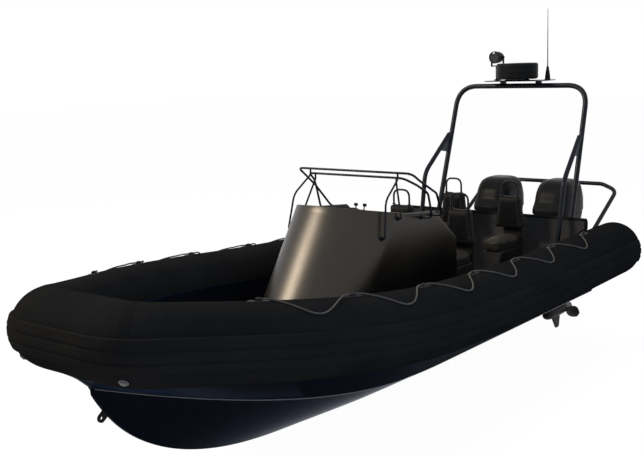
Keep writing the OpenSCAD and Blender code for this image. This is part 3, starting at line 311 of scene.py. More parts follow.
@dataclass
class Skin:
    """Points, quads and triangles of one surface."""

    points: Array
    quads: Array
    tris: Array = field(default_factory=lambda: np.zeros((0, 3), int))

    def mapped(self, change: Callable[[Array], Array]) -> "Skin":
        """Copy of the surface with its points passed through a function."""
        return Skin(change(self.points), self.quads, self.tris)

    def mirrored(self) -> "Skin":
        """Copy of the surface on the other side of the centre plane."""
        return Skin(flip_y(self.points), self.quads[:, ::-1], self.tris[:, ::-1])

    def moved(self, offset: Numbers) -> "Skin":
        """Copy of the surface moved by an offset."""
        return Skin(self.points + np.asarray(offset, float), self.quads, self.tris)

    def paired(self) -> "Skin":
        """The surface together with its mirror image."""
        return join([self, self.mirrored()])


def join(skins: Iterable[Skin]) -> Skin:
    """Put surfaces into one, with the indices of their faces shifted.

    Args:
        skins: Surfaces to join.

    Returns:
        One surface.
    """
    parts = list(skins)
    starts = np.cumsum([0] + [len(p.points) for p in parts[:-1]])
    return Skin(
        np.concatenate([p.points for p in parts]),
        np.concatenate([p.quads + s for p, s in zip(parts, starts)]),
        np.concatenate([p.tris + s for p, s in zip(parts, starts)]),
    )


def grid(points: Array, wrap_rows: bool = False, wrap_cols: bool = False) -> Skin:
    """Join a table of points into quads between neighbouring rows and columns.

    Args:
        points: Array of rows by columns by 3.
        wrap_rows: Whether the last row joins the first.
        wrap_cols: Whether the last column joins the first.

    Returns:
        The surface.
    """
    rows, cols = points.shape[:2]
    i = np.arange(rows if wrap_rows else rows - 1)[:, None]
    j = np.arange(cols if wrap_cols else cols - 1)[None]
    below, right = (i + 1) % rows, (j + 1) % cols
    quads = np.stack([i * cols + j, i * cols + right, below * cols + right, below * cols + j], -1)
    return Skin(points.reshape(-1, 3), quads.reshape(-1, 4))


def fan(ring: Array) -> Skin:
    """Close a ring with triangles to its middle.

    Args:
        ring: Points of the ring.

    Returns:
        Fan of triangles.
    """
    count = len(ring)
    k = np.arange(count)
    tris = np.stack([np.full(count, count), k, (k + 1) % count], -1)
    return Skin(np.vstack([ring, ring.mean(0)]), np.zeros((0, 4), int), tris)


def loft(rings: Array) -> Skin:
    """Closed surface through rings, with a flat cap at each end."""
    return join([grid(rings, wrap_cols=True), fan(rings[0]), fan(rings[-1])])


def tube(path: Array, radius: float | Array, sides: int = 20, closed: bool = False,
         reference: Numbers = (0.31, 0.17, 0.94)) -> Skin:
    """Carry a circle along a path.

    The circle's plane is square to the path. Its first axis is the part of the side vector before it that is
    square to the path, so the circle does not spin along the way.

    Args:
        path: Points of the centre line.
        radius: Radius, or one radius for each point.
        sides: Points round the circle.
        closed: Whether the path is a loop.
        reference: Side vector at the first point.

    Returns:
        The tube, with flat ends unless it is a loop.
    """
    if closed:
        along = unit(np.roll(path, -1, 0) - np.roll(path, 1, 0))
    else:
        along = unit(np.gradient(path, axis=0))
    across = np.empty_like(path)
    carried = np.asarray(reference, float)
    for k, heading in enumerate(along):
        carried = unit(carried - heading * (carried @ heading))
        across[k] = carried
    other = np.cross(along, across)
    turn = full_turn(sides)[None, :, None]
    reach = np.broadcast_to(np.asarray(radius, float), (len(path),))[:, None, None]
    rings = path[:, None] + reach * (np.cos(turn) * across[:, None] + np.sin(turn) * other[:, None])
    return grid(rings, wrap_rows=True, wrap_cols=True) if closed else loft(rings)


def placed(points: Array, origin: Numbers, x_axis: Numbers, z_axis: Numbers) -> Array:
    """Take points from a piece's own axes to the boat's.

    Args:
        points: Points in the piece's axes.
        origin: Place of the piece's origin.
        x_axis: Direction of its X axis, made square to its Z axis.
        z_axis: Direction of its Z axis.

    Returns:
        Points in the boat's axes.
    """
    up = unit(np.asarray(z_axis, float))
    fore = np.asarray(x_axis, float)
    fore = unit(fore - up * (fore @ up))
    axes = np.stack([fore, np.cross(up, fore), up])
    return points @ axes + np.asarray(origin, float)


def revolve(profile: Table, sides: int = 48) -> Skin:
    """Turn a profile of radius and height about the Z axis, and close its ends.

    Args:
        profile: Rows of radius and height from one end to the other.
        sides: Points round the axis.

    Returns:
        Closed surface about the origin's Z axis.
    """
    table = np.asarray(profile, float)
    turn = full_turn(sides)[None]
    reach, height = table[:, :1], table[:, 1:]
    rings = np.stack(np.broadcast_arrays(reach * np.cos(turn), reach * np.sin(turn), height), -1)
    return loft(rings)


def rounded_block(size: Numbers, edge: float, steps: int = 4) -> Skin:
    """Box about the origin with rounded edges.

    Each point of a cube's six gridded faces is pulled on to the sphere of the edge radius about the nearest
    point of the box that is inset by that radius.

    Args:
        size: Lengths along X, Y and Z.
        edge: Radius of the edges.
        steps: Points across half of a rounded edge.

    Returns:
        Closed surface.
    """
    half = np.asarray(size, float) / 2
    core = half - edge
    spread = edge * np.tan(np.linspace(np.pi / 4, 0.0, steps))
    lines = [np.concatenate([-c - spread, (c + spread)[::-1]]) for c in core]
    faces = []
    for axis in range(3):
        first, second = [k for k in range(3) if k != axis]
        a, b = np.meshgrid(lines[first], lines[second], indexing="ij")
        for sign in (-1.0, 1.0):
            points = np.empty(a.shape + (3,))
            points[..., axis], points[..., first], points[..., second] = sign * half[axis], a, b
            faces.append(grid(points))
    box = join(faces)
    inner = np.clip(box.points, -core, core)
    return Skin(inner + edge * unit(box.points - inner), box.quads, box.tris)


def squircle(count: int, power: float) -> Array:
    """Points of a unit superellipse, cos and sin raised to a power with their signs kept.

    Args:
        count: Number of points.
        power: 1 gives a circle, and smaller values a rounded square.

    Returns:
        Array of count by 2.
    """
    turn = 2 * np.pi * (np.arange(count) + 0.5) / count
    wave = np.stack([np.cos(turn), np.sin(turn)], -1)
    return np.sign(wave) * np.abs(wave) ** power


def cushion(half_x: float, half_y: float, height: float, edge: float, crown: float, power: float,
            bulge: float, groove: float, count: int, outline: Callable[[Array], Array]) -> Skin:
    """Crowned pad on the plane z = 0: walls that swell, a sewn seam, a rounded shoulder and a domed top.

    A superellipse outline is scaled by rings that go up the wall, round the shoulder and in to the middle.
    The wall swells by a sine of its height, a narrow notch below the shoulder is the seam, and the top rises
    by the crown times one less the square of the distance from the middle.

    Args:
        half_x: Half length.
        half_y: Half width.
        height: Height of the shoulder's top.
        edge: Radius of the shoulder.
        crown: Rise of the middle above the shoulder's top.
        power: Power of the superellipse.
        bulge: Swelling of the wall.
        groove: Depth of the seam.
        count: Points round the outline.
        outline: Change of the points' X and Y, such as a taper.

    Returns:
        Closed surface.
    """
    wall = np.linspace(0.0, 1.0, 15)
    seam, seam_width = 0.86, 0.045
    inset = -bulge * np.sin(np.pi * wall) + groove * np.exp(-((wall - seam) / seam_width) ** 2)
    turn = quarter_turn(9)[1:]
    inward = np.linspace(0.0, 1.0, 14)[1:-1]
    reach = np.concatenate([inset, edge * (1 - np.cos(turn)), np.full(len(inward), edge)])
    shrink = np.concatenate([np.ones(len(wall) + len(turn)), 1 - inward])
    low = height - edge
    lift = np.concatenate([wall * low, low + edge * np.sin(turn), np.full(len(inward), height)])
    lift = lift + crown * (1 - shrink ** 2)
    shape = squircle(count, power)
    spans = np.stack([half_x - reach, half_y - reach], -1) * shrink[:, None]
    flat = spans[:, None] * shape[None]
    rings = np.concatenate([flat, np.broadcast_to(lift[:, None, None], flat.shape[:2] + (1,))], -1)
    pad = loft(rings)
    pad.points[-1, 2] = height + crown
    pad.points[:, :2] = outline(pad.points)
    return pad


def capped(rings: Array) -> Skin:
    """Closed surface through rings whose flat ends may be hollow outlines, each end cut into triangles.

    Args:
        rings: Points as rings by columns.

    Returns:
        Closed surface.
    """
    ends = [[Vector(point) for point in ring] for ring in (rings[0], rings[-1])]
    first, last = (np.array(tessellate_polygon([end])) for end in ends)
    wall = grid(rings, wrap_cols=True)
    start = (len(rings) - 1) * rings.shape[1]
    return Skin(wall.points, wall.quads, np.concatenate([first, last + start]))


def shaped(outline: Array, inset: Array, height: Array, scale: Array | float = 1.0) -> Skin:
    """Closed surface from copies of an outline.

    Each ring is the outline moved in by its inset, drawn to the middle by its scale and lifted to its height.

    Args:
        outline: Anticlockwise points in X and Y.
        inset: Inset of each ring.
        height: Height of each ring.
        scale: Scale of each ring about the middle.

    Returns:
        The surface.
    """
    inset, height, scale = np.broadcast_arrays(inset, height, scale)
    middle = outline.mean(0)
    flat = outline[None] - inset[:, None, None] * outline_normals(outline)[None]
    flat = middle + scale[:, None, None] * (flat - middle)
    lift = np.broadcast_to(height[:, None, None], flat.shape[:2] + (1,))
    return capped(np.concatenate([flat, lift], -1))


def slab(outline: Array, thickness: float, edge: float, steps: int = 5) -> Skin:
    """Plate about z = 0 whose edges are quarter rounds of the given radius.

    Args:
        outline: Plan of the plate.
        thickness: Full thickness.
        edge: Radius of the edges.
        steps: Rings in each quarter round.

    Returns:
        Closed surface.
    """
    turn = quarter_turn(steps)
    inset = edge * (1 - np.cos(turn))
    height = thickness / 2 - edge + edge * np.sin(turn)
    return shaped(outline, np.concatenate([inset[::-1], inset]), np.concatenate([-height[::-1], height]))


def on_edge(skin: Skin, y: float = 0.0) -> Skin:
    """Stand a plate on edge along the boat: its X stays, its Y points up and its Z to starboard."""
    return skin.mapped(lambda p: np.stack([p[:, 0], y - p[:, 2], p[:, 1]], -1))


def stood(skin: Skin, origin: Numbers, axis: Numbers) -> Skin:
    """Stand a piece at a point with its Z axis along a direction."""
    side = Z_AXIS if abs(axis[2]) < 0.7 else X_AXIS
    return skin.mapped(lambda p: placed(p, origin, side, axis))


def turned(profile: Table, origin: Numbers, axis: Numbers, sides: int = 40) -> Skin:
    """Turn a profile of radius and height about an axis from a point, at which the height is 0."""
    return stood(revolve(profile, sides), origin, axis)


def foot_plate(origin: Numbers, axis: Numbers, radius: float, bolts: int = 4) -> Skin:
    """Round flange with a welded collar and a ring of bolt heads, standing on a surface.

    Args:
        origin: Middle of the flange's underside.
        axis: Direction away from the surface.
        radius: Radius of the flange.
        bolts: Number of bolt heads.

    Returns:
        Closed surfaces.
    """
    plate = radius * np.array([(1, 0), (1, 0.10), (0.95, 0.14), (0.56, 0.15), (0.52, 0.30), (0.40, 0.36)])
    head = radius * np.array([(0.13, 0.13), (0.13, 0.22), (0.09, 0.27), (0.02, 0.28)])
    reach = 0.76 * radius
    spots = 2 * np.pi * (np.arange(bolts) + 0.5) / bolts
    heads = [revolve(head, 12).moved((reach * math.cos(a), reach * math.sin(a), 0.0)) for a in spots]
    return stood(join([revolve(plate, 40), *heads]), origin, axis)


def oval(rows: Array, power: float, count: int = 96) -> Array:
    """Rings of a housing: a superellipse in plan for each row of height, front, rear and half width.

    Args:
        rows: Table of heights, fronts, rears and half widths.
        power: Power of the superellipse.
        count: Points in each ring.

    Returns:
        Array of rings by points by 3.
    """
    shape = squircle(count, power)
    z, front, rear, half = rows.T[..., None]
    x = (front + rear) / 2 + (front - rear) / 2 * shape[None, :, 0]
    return np.stack(np.broadcast_arrays(x, half * shape[None, :, 1], z), -1)


def pillow(outline: Array, thickness: float, edge: float, crown: float, bulge: float) -> Skin:
    """Upright pad about z = 0: a flat back, walls that swell, rounded shoulders and a crowned front.

    The front rises by the crown times one less the square of the distance from the middle, and the wall
    swells by the bulge times one less the square of the distance from its own middle.

    Args:
        outline: Anticlockwise outline in X and Y.
        thickness: Distance from back to front at the outline.
        edge: Radius of the shoulders.
        crown: Rise of the front's middle.
        bulge: Swelling of the walls.

    Returns:
        Closed surface.
    """
    half = thickness / 2
    face = np.linspace(0.03, 1.0, 18)
    turn = quarter_turn(8)
    wall = np.linspace(-1.0, 1.0, 11)[1:-1]
    shoulder = edge * (1 - np.sin(turn))
    drop = edge * (1 - np.cos(turn))
    even = np.ones_like(face)
    inset = np.concatenate([edge * even, shoulder, -bulge * (1 - wall ** 2), shoulder[::-1], edge * even])
    height = np.concatenate([-half * even, drop - half, (half - edge) * wall, half - drop[::-1],
                             half + crown * (1 - face[::-1] ** 2)])
    scale = np.concatenate([face, np.ones(2 * len(turn) + len(wall)), face[::-1]])
    return shaped(outline, inset, height, scale)


# Finishes


def feed(tree: bpy.types.NodeTree, node: bpy.types.Node, inputs: Feeds) -> None:
    """Give a node its inputs: an output of another node is linked, and any other value is a constant.

    Args:
        tree: Tree that holds the node.
        node: The node.
        inputs: What each input gets, by its name or number.
    """
    for key, value in inputs.items():
        if isinstance(value, bpy.types.NodeSocket):
            tree.links.new(value, node.inputs[key])
        else:
            node.inputs[key].default_value = value


def add_node(tree: bpy.types.NodeTree, kind: str, inputs: Feeds, operation: str = "") -> bpy.types.Node:
    """Add a shader node and give it its inputs.

    Args:
        tree: Tree that gets the node.
        kind: Kind of node without its prefix.
        inputs: What each input gets, by its name or number.
        operation: Operation of a node that calculates.

    Returns:
        The node.
    """
    node = tree.nodes.new(f"ShaderNode{kind}")
    if operation:
        node.operation = operation
    feed(tree, node, inputs)
    return node


def add_group(tree: bpy.types.NodeTree, group: bpy.types.NodeTree, inputs: Feeds) -> bpy.types.Node:
    """Add a node that stands for a group and give it its inputs.

    Args:
        tree: Tree that gets the node.
        group: The group.
        inputs: What each input gets, by its name.

    Returns:
        The node.
    """
    node = tree.nodes.new("ShaderNodeGroup")
    node.node_tree = group
    feed(tree, node, inputs)
    return node


class ShaderGroups:
    """Shader node groups that several finishes share, each made once."""

    _made: dict[str, bpy.types.NodeTree] = {}

    @classmethod
    def _start(cls, name: str, inputs: dict[str, str], outputs: dict[str, str],
               ) -> tuple[bpy.types.NodeTree, bpy.types.Node, bpy.types.Node]:
        """Make an empty group with its sockets.

        Args:
            name: Name of the group.
            inputs: Kind of each input by its name.
            outputs: Kind of each output by its name.

        Returns:
            The tree and its input and output nodes.
        """
        tree = bpy.data.node_groups.new(name, "ShaderNodeTree")
        for way, sockets in (("INPUT", inputs), ("OUTPUT", outputs)):
            for label, kind in sockets.items():
                tree.interface.new_socket(label, in_out=way, socket_type=f"NodeSocket{kind}")
        cls._made[name] = tree
        return tree, tree.nodes.new("NodeGroupInput"), tree.nodes.new("NodeGroupOutput")

    @classmethod
    def mottle(cls) -> bpy.types.NodeTree:
        """Cloudy change between two colours: two noises of different scale, added and stretched to a mask.

        Returns:
            Group with the outputs Color and Mask.
        """
        name = "mottle"
        if name in cls._made:
            return cls._made[name]
        tree, start, end = cls._start(
            name,
            {"Vector": "Vector", "Scale": "Float", "Base": "Color", "Shade": "Color", "Spread": "Float"},
            {"Color": "Color", "Mask": "Float"})
        place, scale, base, shade, spread = list(start.outputs)[:5]
        finer = add_node(tree, "Math", {0: scale, 1: 14.0}, "MULTIPLY")
        broad = add_node(tree, "TexNoise", {"Vector": place, "Scale": scale, "Detail": 4.0})
        fine = add_node(tree, "TexNoise", {"Vector": place, "Scale": finer.outputs[0], "Detail": 6.0})
        noises = {0: fine.outputs["Fac"], 1: 0.45, 2: broad.outputs["Fac"]}
        total = add_node(tree, "Math", noises, "MULTIPLY_ADD")
        stretch = add_node(tree, "MapRange", {"Value": total.outputs[0], "From Min": 0.5, "From Max": 0.95})
        mask = stretch.outputs["Result"]
        amount = add_node(tree, "Math", {0: mask, 1: spread}, "MULTIPLY")
        blend = tree.nodes.new("ShaderNodeMix")
        blend.data_type = "RGBA"
        feed(tree, blend, {0: amount.outputs[0], 6: base, 7: shade})
        feed(tree, end, {"Color": blend.outputs[2], "Mask": mask})
        return tree

    @classmethod
    def grain(cls, kind: Grain) -> bpy.types.NodeTree:
        """Fine relief as a height: crossed waves, cells, stretched noise or raised lozenges.

        Args:
            kind: Which relief.

        Returns:
            Group with inputs Vector and Pitch and the output Height.
        """
        name = f"{kind.value} relief"
        if name in cls._made:
            return cls._made[name]
        tree, start, end = cls._start(name, {"Vector": "Vector", "Pitch": "Float"}, {"Height": "Float"})
        feeds = {0: start.outputs["Vector"], "Scale": start.outputs["Pitch"]}
        place = add_node(tree, "VectorMath", feeds, "SCALE").outputs["Vector"]
        if kind in (Grain.WEAVE, Grain.TREAD):
            waves = {}
            for number, turn in enumerate((math.radians(45), math.radians(-45))):
                lie = add_node(tree, "Mapping", {"Vector": place, "Rotation": (turn, 0.3 * turn, turn)})
                feeds = {"Vector": lie.outputs["Vector"], "Scale": 0.5, "Distortion": 0.0}
                waves[number] = add_node(tree, "TexWave", feeds).outputs["Fac"]
            crossing = "MULTIPLY" if kind is Grain.TREAD else "MAXIMUM"
            height = add_node(tree, "Math", waves, crossing).outputs[0]
        elif kind is Grain.PEBBLE:
            height = add_node(tree, "TexVoronoi", {"Vector": place, "Scale": 1.0}).outputs["Distance"]
        else:
            lie = add_node(tree, "Mapping", {"Vector": place, "Scale": (1.0, 1.0, 0.03)})
            hair = add_node(tree, "TexNoise", {"Vector": lie.outputs["Vector"], "Scale": 1.0, "Detail": 3.0})
            height = hair.outputs["Fac"]
        feed(tree, end, {"Height": height})
        return tree


@dataclass(frozen=True)
class Relief:
    """Fine relief of a surface: its kind, how many cells lie along a metre, and its depth."""

    kind: Grain
    pitch: float
    depth: float


@dataclass(frozen=True)
class Finish:
    """Look of a surface: two colours that cloud into each other, gloss, and a fine relief."""

    name: str
    slot: str
    base: Colour
    shade: Colour
    roughness: float
    metallic: float = 0.0
    specular: float = 0.5
    cloud_scale: float = 2.5
    cloud_spread: float = 0.8
    gloss_spread: float = 0.08
    smoothest: float = 0.03
    relief: Relief | None = None
    # Tint of the specular and the sheen; where it is not white it is a painted reflection colour
    tint: Colour = (1.0, 1.0, 1.0)
    sheen: float = 0.0
    sheen_roughness: float = 0.3

    def material(self) -> bpy.types.Material:
        """Material of this finish, made at its first use.

        Returns:
            The material.
        """
        made = bpy.data.materials.get(self.name)
        if made is not None:
            return made
        made = bpy.data.materials.new(self.name)
        made.use_nodes = True
        tree = made.node_tree
        place = add_node(tree, "TexCoord", {}).outputs["Object"]
        cloud = add_group(tree, ShaderGroups.mottle(), {
            "Vector": place, "Scale": self.cloud_scale, "Spread": self.cloud_spread,
            "Base": (*self.base, 1.0), "Shade": (*self.shade, 1.0)})
        gloss = add_node(tree, "MapRange", {
            "Value": cloud.outputs["Mask"], "To Min": max(self.smoothest, self.roughness - self.gloss_spread),
            "To Max": min(1.0, self.roughness + self.gloss_spread)})
        shader = tree.nodes["Principled BSDF"]
        tint = (*self.tint, 1.0)
        feed(tree, shader, {
            "Base Color": cloud.outputs["Color"], "Roughness": gloss.outputs["Result"],
            "Metallic": self.metallic, "Specular IOR Level": self.specular, "Specular Tint": tint,
            "Sheen Weight": self.sheen, "Sheen Roughness": self.sheen_roughness, "Sheen Tint": tint})
        if self.relief is not None:
            group = ShaderGroups.grain(self.relief.kind)
            fine = add_group(tree, group, {"Vector": place, "Pitch": self.relief.pitch})
            bump = add_node(tree, "Bump", {"Height": fine.outputs["Height"], "Distance": self.relief.depth})
            feed(tree, shader, {"Normal": bump.outputs["Normal"]})
        return made


@dataclass(frozen=True)
class Finishes:
    """All finishes of the boat."""

    # The gelcoat's blue specular and sheen colour is a painted reflection of blue sky on the hull's underside
    gelcoat: Finish = Finish(
        "black gelcoat", "gelcoat_black", (0.004, 0.005, 0.008), (0.007, 0.009, 0.013), 0.22,
        specular=0.0008, tint=(0.25, 0.48, 1.0), sheen=0.10, cloud_scale=0.8, gloss_spread=0.05)
    # The cockpit moulding's colour is the black gelcoat painted lighter: painted light on the bulkhead and
    # transom that lie in shade
    liner: Finish = Finish(
        "cockpit liner", "gelcoat_black", (0.042, 0.0405, 0.041), (0.062, 0.060, 0.060), 0.42,
        specular=0.06, cloud_scale=1.2, relief=Relief(Grain.PEBBLE, 260.0, 0.0002))
    sole: Finish = Finish(
        "non-slip sole", "deck_grey", (0.026, 0.026, 0.028), (0.042, 0.041, 0.040), 0.75,
        specular=0.0, relief=Relief(Grain.TREAD, 150.0, 0.0015))
    collar: Finish = Finish(
        "collar fabric", "collar_rubber", (0.0115, 0.0118, 0.0125), (0.018, 0.0178, 0.018), 0.55,
        specular=0.0, cloud_scale=1.6, relief=Relief(Grain.WEAVE, 900.0, 0.0002))
    tape: Finish = Finish(
        "seam tape", "collar_rubber", (0.0105, 0.0108, 0.0114), (0.017, 0.0168, 0.017), 0.5,
        specular=0.0, cloud_scale=3.0, relief=Relief(Grain.WEAVE, 1200.0, 0.0002))
    strake: Finish = Finish(
        "strake rubber", "strake_rubber", (0.013, 0.0128, 0.013), (0.020, 0.0192, 0.0185), 0.48,
        specular=0.0, cloud_scale=2.2, relief=Relief(Grain.PEBBLE, 500.0, 0.0002))
    pad: Finish = Finish(
        "moulded pad", "strake_rubber", (0.022, 0.022, 0.021), (0.040, 0.039, 0.037), 0.55,
        specular=0.05, cloud_scale=9.0, relief=Relief(Grain.PEBBLE, 900.0, 0.0002))
    rope: Finish = Finish(
        "laid rope", "rope_grey", (0.105, 0.100, 0.090), (0.068, 0.064, 0.057), 0.85,
        specular=0.2, cloud_scale=30.0, relief=Relief(Grain.WEAVE, 2600.0, 0.0004))
    valve: Finish = Finish(
        "valve grey", "valve_grey", (0.11, 0.115, 0.115), (0.07, 0.07, 0.07), 0.45,
        cloud_scale=12.0, relief=Relief(Grain.PEBBLE, 1200.0, 0.0001))
    console: Finish = Finish(
        "satin console metal", "console_metal", (0.040, 0.0366, 0.0332), (0.050, 0.0456, 0.0412), 0.34,
        metallic=1.0, cloud_scale=1.1, gloss_spread=0.04, relief=Relief(Grain.BRUSHED, 700.0, 0.00006))
    pipe: Finish = Finish(
        "blue-black pipe", "pipe_blue_black", (0.006, 0.0075, 0.012), (0.011, 0.013, 0.019), 0.28,
        specular=0.12, cloud_scale=3.5, relief=Relief(Grain.PEBBLE, 900.0, 0.00008))
    # Gusset paint: the pipes' blue-black painted lighter, painted light on the plates in the arch's forks
    gusset: Finish = Finish(
        "gusset paint", "pipe_blue_black", (0.030, 0.036, 0.046), (0.045, 0.052, 0.064), 0.4,
        specular=0.15, cloud_scale=5.0, relief=Relief(Grain.PEBBLE, 900.0, 0.00008))
    plastic: Finish = Finish(
        "dark plastic", "dark_plastic", (0.006, 0.0065, 0.0072), (0.011, 0.011, 0.012), 0.42,
        specular=0.05, cloud_scale=4.0, relief=Relief(Grain.PEBBLE, 1100.0, 0.00015))
    glass: Finish = Finish(
        "dark glass", "dark_plastic", (0.004, 0.006, 0.008), (0.008, 0.010, 0.013), 0.08,
        cloud_scale=3.0, gloss_spread=0.03)
    pod: Finish = Finish(
        "seat pod paint", "seat_pod_grey", (0.014, 0.013, 0.0125), (0.024, 0.022, 0.021), 0.5,
        specular=0.05, cloud_scale=3.0, relief=Relief(Grain.PEBBLE, 800.0, 0.00012))
    vinyl: Finish = Finish(
        "seat vinyl", "seat_vinyl", (0.030, 0.026, 0.021), (0.046, 0.041, 0.033), 0.46,
        specular=0.06, cloud_scale=4.0, relief=Relief(Grain.PEBBLE, 420.0, 0.0004))
    vinyl_back: Finish = Finish(
        "brown seat border", "seat_vinyl", (0.015, 0.0135, 0.0118), (0.024, 0.0215, 0.018), 0.48,
        specular=0.05, cloud_scale=4.0, relief=Relief(Grain.PEBBLE, 420.0, 0.0004))
    vinyl_dark: Finish = Finish(
        "dark seat panel", "seat_vinyl", (0.005, 0.0055, 0.0065), (0.010, 0.010, 0.011), 0.5,
        specular=0.04, cloud_scale=4.0, relief=Relief(Grain.WEAVE, 900.0, 0.0004))
    motor: Finish = Finish(
        "motor paint", "motor_grey", (0.0092, 0.0092, 0.0096), (0.0145, 0.0143, 0.0145), 0.34,
        specular=0.05, cloud_scale=2.2, relief=Relief(Grain.PEBBLE, 700.0, 0.00008))
    motor_dark: Finish = Finish(
        "motor casting", "motor_grey", (0.010, 0.010, 0.0105), (0.017, 0.0165, 0.016), 0.42,
        specular=0.05, cloud_scale=3.0, relief=Relief(Grain.PEBBLE, 600.0, 0.0001))
    motor_trim: Finish = Finish(
        "motor trim", "motor_grey", (0.005, 0.005, 0.0055), (0.009, 0.009, 0.009), 0.4,
        specular=0.05, cloud_scale=5.0, relief=Relief(Grain.PEBBLE, 900.0, 0.0001))
    propeller: Finish = Finish(
        "propeller paint", "propeller_metal", (0.010, 0.010, 0.011), (0.030, 0.029, 0.028), 0.35,
        metallic=0.4, cloud_scale=7.0, relief=Relief(Grain.PEBBLE, 900.0, 0.0001))
    block: Finish = Finish(
        "engine block", "engine_block", (0.03, 0.03, 0.03), (0.05, 0.048, 0.045), 0.7,
        relief=Relief(Grain.PEBBLE, 300.0, 0.0004))


FINISH = Finishes()


# Objects


def mesh_from(name: str, skin: Skin) -> bpy.types.Mesh:
    """Make a mesh from a surface, with its seams welded and its faces turned outwards.

    Args:
        name: Name of the mesh.
        skin: The surface.

    Returns:
        The mesh.
    """
    mesh = bpy.data.meshes.new(name)
    corners = np.concatenate([skin.quads.ravel(), skin.tris.ravel()])
    sizes = np.concatenate([np.full(len(skin.quads), 4), np.full(len(skin.tris), 3)])
    mesh.vertices.add(len(skin.points))
    mesh.vertices.foreach_set("co", skin.points.astype(np.float32).ravel())
    mesh.loops.add(len(corners))
    mesh.loops.foreach_set("vertex_index", corners.astype(np.int32))
    mesh.polygons.add(len(sizes))
    mesh.polygons.foreach_set("loop_start", (np.cumsum(sizes) - sizes).astype(np.int32))
    mesh.update(calc_edges=True)
    work = bmesh.new()
    work.from_mesh(mesh)
    bmesh.ops.remove_doubles(work, verts=work.verts, dist=WELD)
    bmesh.ops.recalc_face_normals(work, faces=work.faces)
    work.to_mesh(mesh)
    work.free()
    return mesh


def mesh_points(mesh: bpy.types.Mesh) -> Array:
    """Points of a mesh as an array.

    Args:
        mesh: Mesh that is read.

    Returns:
        One row per point.
    """
    flat = np.empty(3 * len(mesh.vertices), np.float32)
    mesh.vertices.foreach_get("co", flat)
    return flat.reshape(-1, 3).astype(float)


def swollen(skin: Skin, cell: float, cap: float, pressure: float = 4.0) -> Skin:
    """Fill a closed pad: even cells, cloth under inner pressure without weight, and moves held to a cap.

    Args:
        skin: Surface of the slack pad.
        cell: Size of the cells.
        cap: Furthest that a point may move.
        pressure: Pressure inside.

    Returns:
        Surface of the filled pad.
    """
    scene = bpy.context.scene
    pad = bpy.data.objects.new("slack_pad", mesh_from("slack_pad", skin))
    scene.collection.objects.link(pad)
    cells = pad.modifiers.new("cells", "REMESH")
    cells.mode = "VOXEL"
    cells.voxel_size = cell
    pad.data = bpy.data.meshes.new_from_object(pad.evaluated_get(bpy.context.evaluated_depsgraph_get()))
    pad.modifiers.clear()
    slack = mesh_points(pad.data)
    filled = slack
    cloth = pad.modifiers.new("cloth", "CLOTH")
    cloth.settings.use_pressure = True
    cloth.settings.uniform_pressure_force = pressure
    cloth.settings.effector_weights.gravity = 0.0
    for frame in range(1, CLOTH_FRAMES + 1):
        scene.frame_set(frame)
    filled = mesh_points(pad.evaluated_get(bpy.context.evaluated_depsgraph_get()).data)
    scene.frame_set(1)
    move = filled - slack
    far = np.linalg.norm(move, axis=1, keepdims=True)
    sizes = np.empty(len(pad.data.polygons), np.int32)
    corners = np.empty(len(pad.data.loops), np.int32)
    pad.data.polygons.foreach_get("loop_total", sizes)
    pad.data.loops.foreach_get("vertex_index", corners)
    square = np.repeat(sizes == 4, sizes)
    points = slack + move * np.minimum(1.0, cap / np.maximum(far, 1e-9))
    bpy.data.objects.remove(pad)
    return Skin(points, corners[square].reshape(-1, 4), corners[~square].reshape(-1, 3))


def settle(points: Array, cloud: Array, axes: Sequence[int] = (0, 1, 2)) -> Array:
    """Lay points on a cloud: the mean of the six nearest, weighted by the inverse square of the distance.

    Args:
        points: Points to lay.
        cloud: Points of the surface that they are laid on.
        axes: Axes along which distance is measured.

    Returns:
        One point for each.
    """
    gap = np.zeros((len(points), len(cloud)))
    for axis in axes:
        gap += (points[:, None, axis] - cloud[None, :, axis]) ** 2
    count = 6
    near = np.argpartition(gap, count, axis=1)[:, :count]
    weight = 1 / (np.take_along_axis(gap, near, 1) + 1e-8)
    return (cloud[near] * weight[..., None]).sum(1) / weight.sum(1)[:, None]


def put(name: str, skin: Skin, finish: Finish, replaces: str = "", body: Body = Body.BOAT,
        crease: float = 38.0) -> bpy.types.Object:
    """Make a piece from a surface: weld its seams, turn its faces outwards, dress it and let it ride.

    Args:
        name: Name of the piece.
        skin: Its surface, in the boat's axes.
        finish: Its finish.
        replaces: Node of the frame that it stands for, if there is one.
        body: Body of the frame that it rides on.
        crease: Angle in degrees above which an edge stays sharp.

    Returns:
        The piece's object.
    """
    mesh = mesh_from(name, skin)
    mesh.polygons.foreach_set("use_smooth", np.ones(len(mesh.polygons), bool))
    mesh.set_sharp_from_angle(angle=math.radians(crease))
    piece = bpy.data.objects.new(name, mesh)
    bpy.context.scene.collection.objects.link(piece)
    piece.data.materials.append(finish.material())
    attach(piece, body.value)
    if replaces:
        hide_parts(replaces)
    LOG.info("%s: %d faces on %s", name, len(mesh.polygons), body.value)
    return piece


def dress(nodes: dict[str, bpy.types.Object], finish: Finish, names: Sequence[str]) -> None:
    """Give nodes of the frame that stay in view a finish.

    Args:
        nodes: Objects of the frame by name.
        finish: Finish to give.
        names: Names of the nodes.
    """
    for name in names:
        node = nodes[name]
        node.data.materials.clear()
        node.data.materials.append(finish.material())


# Collar


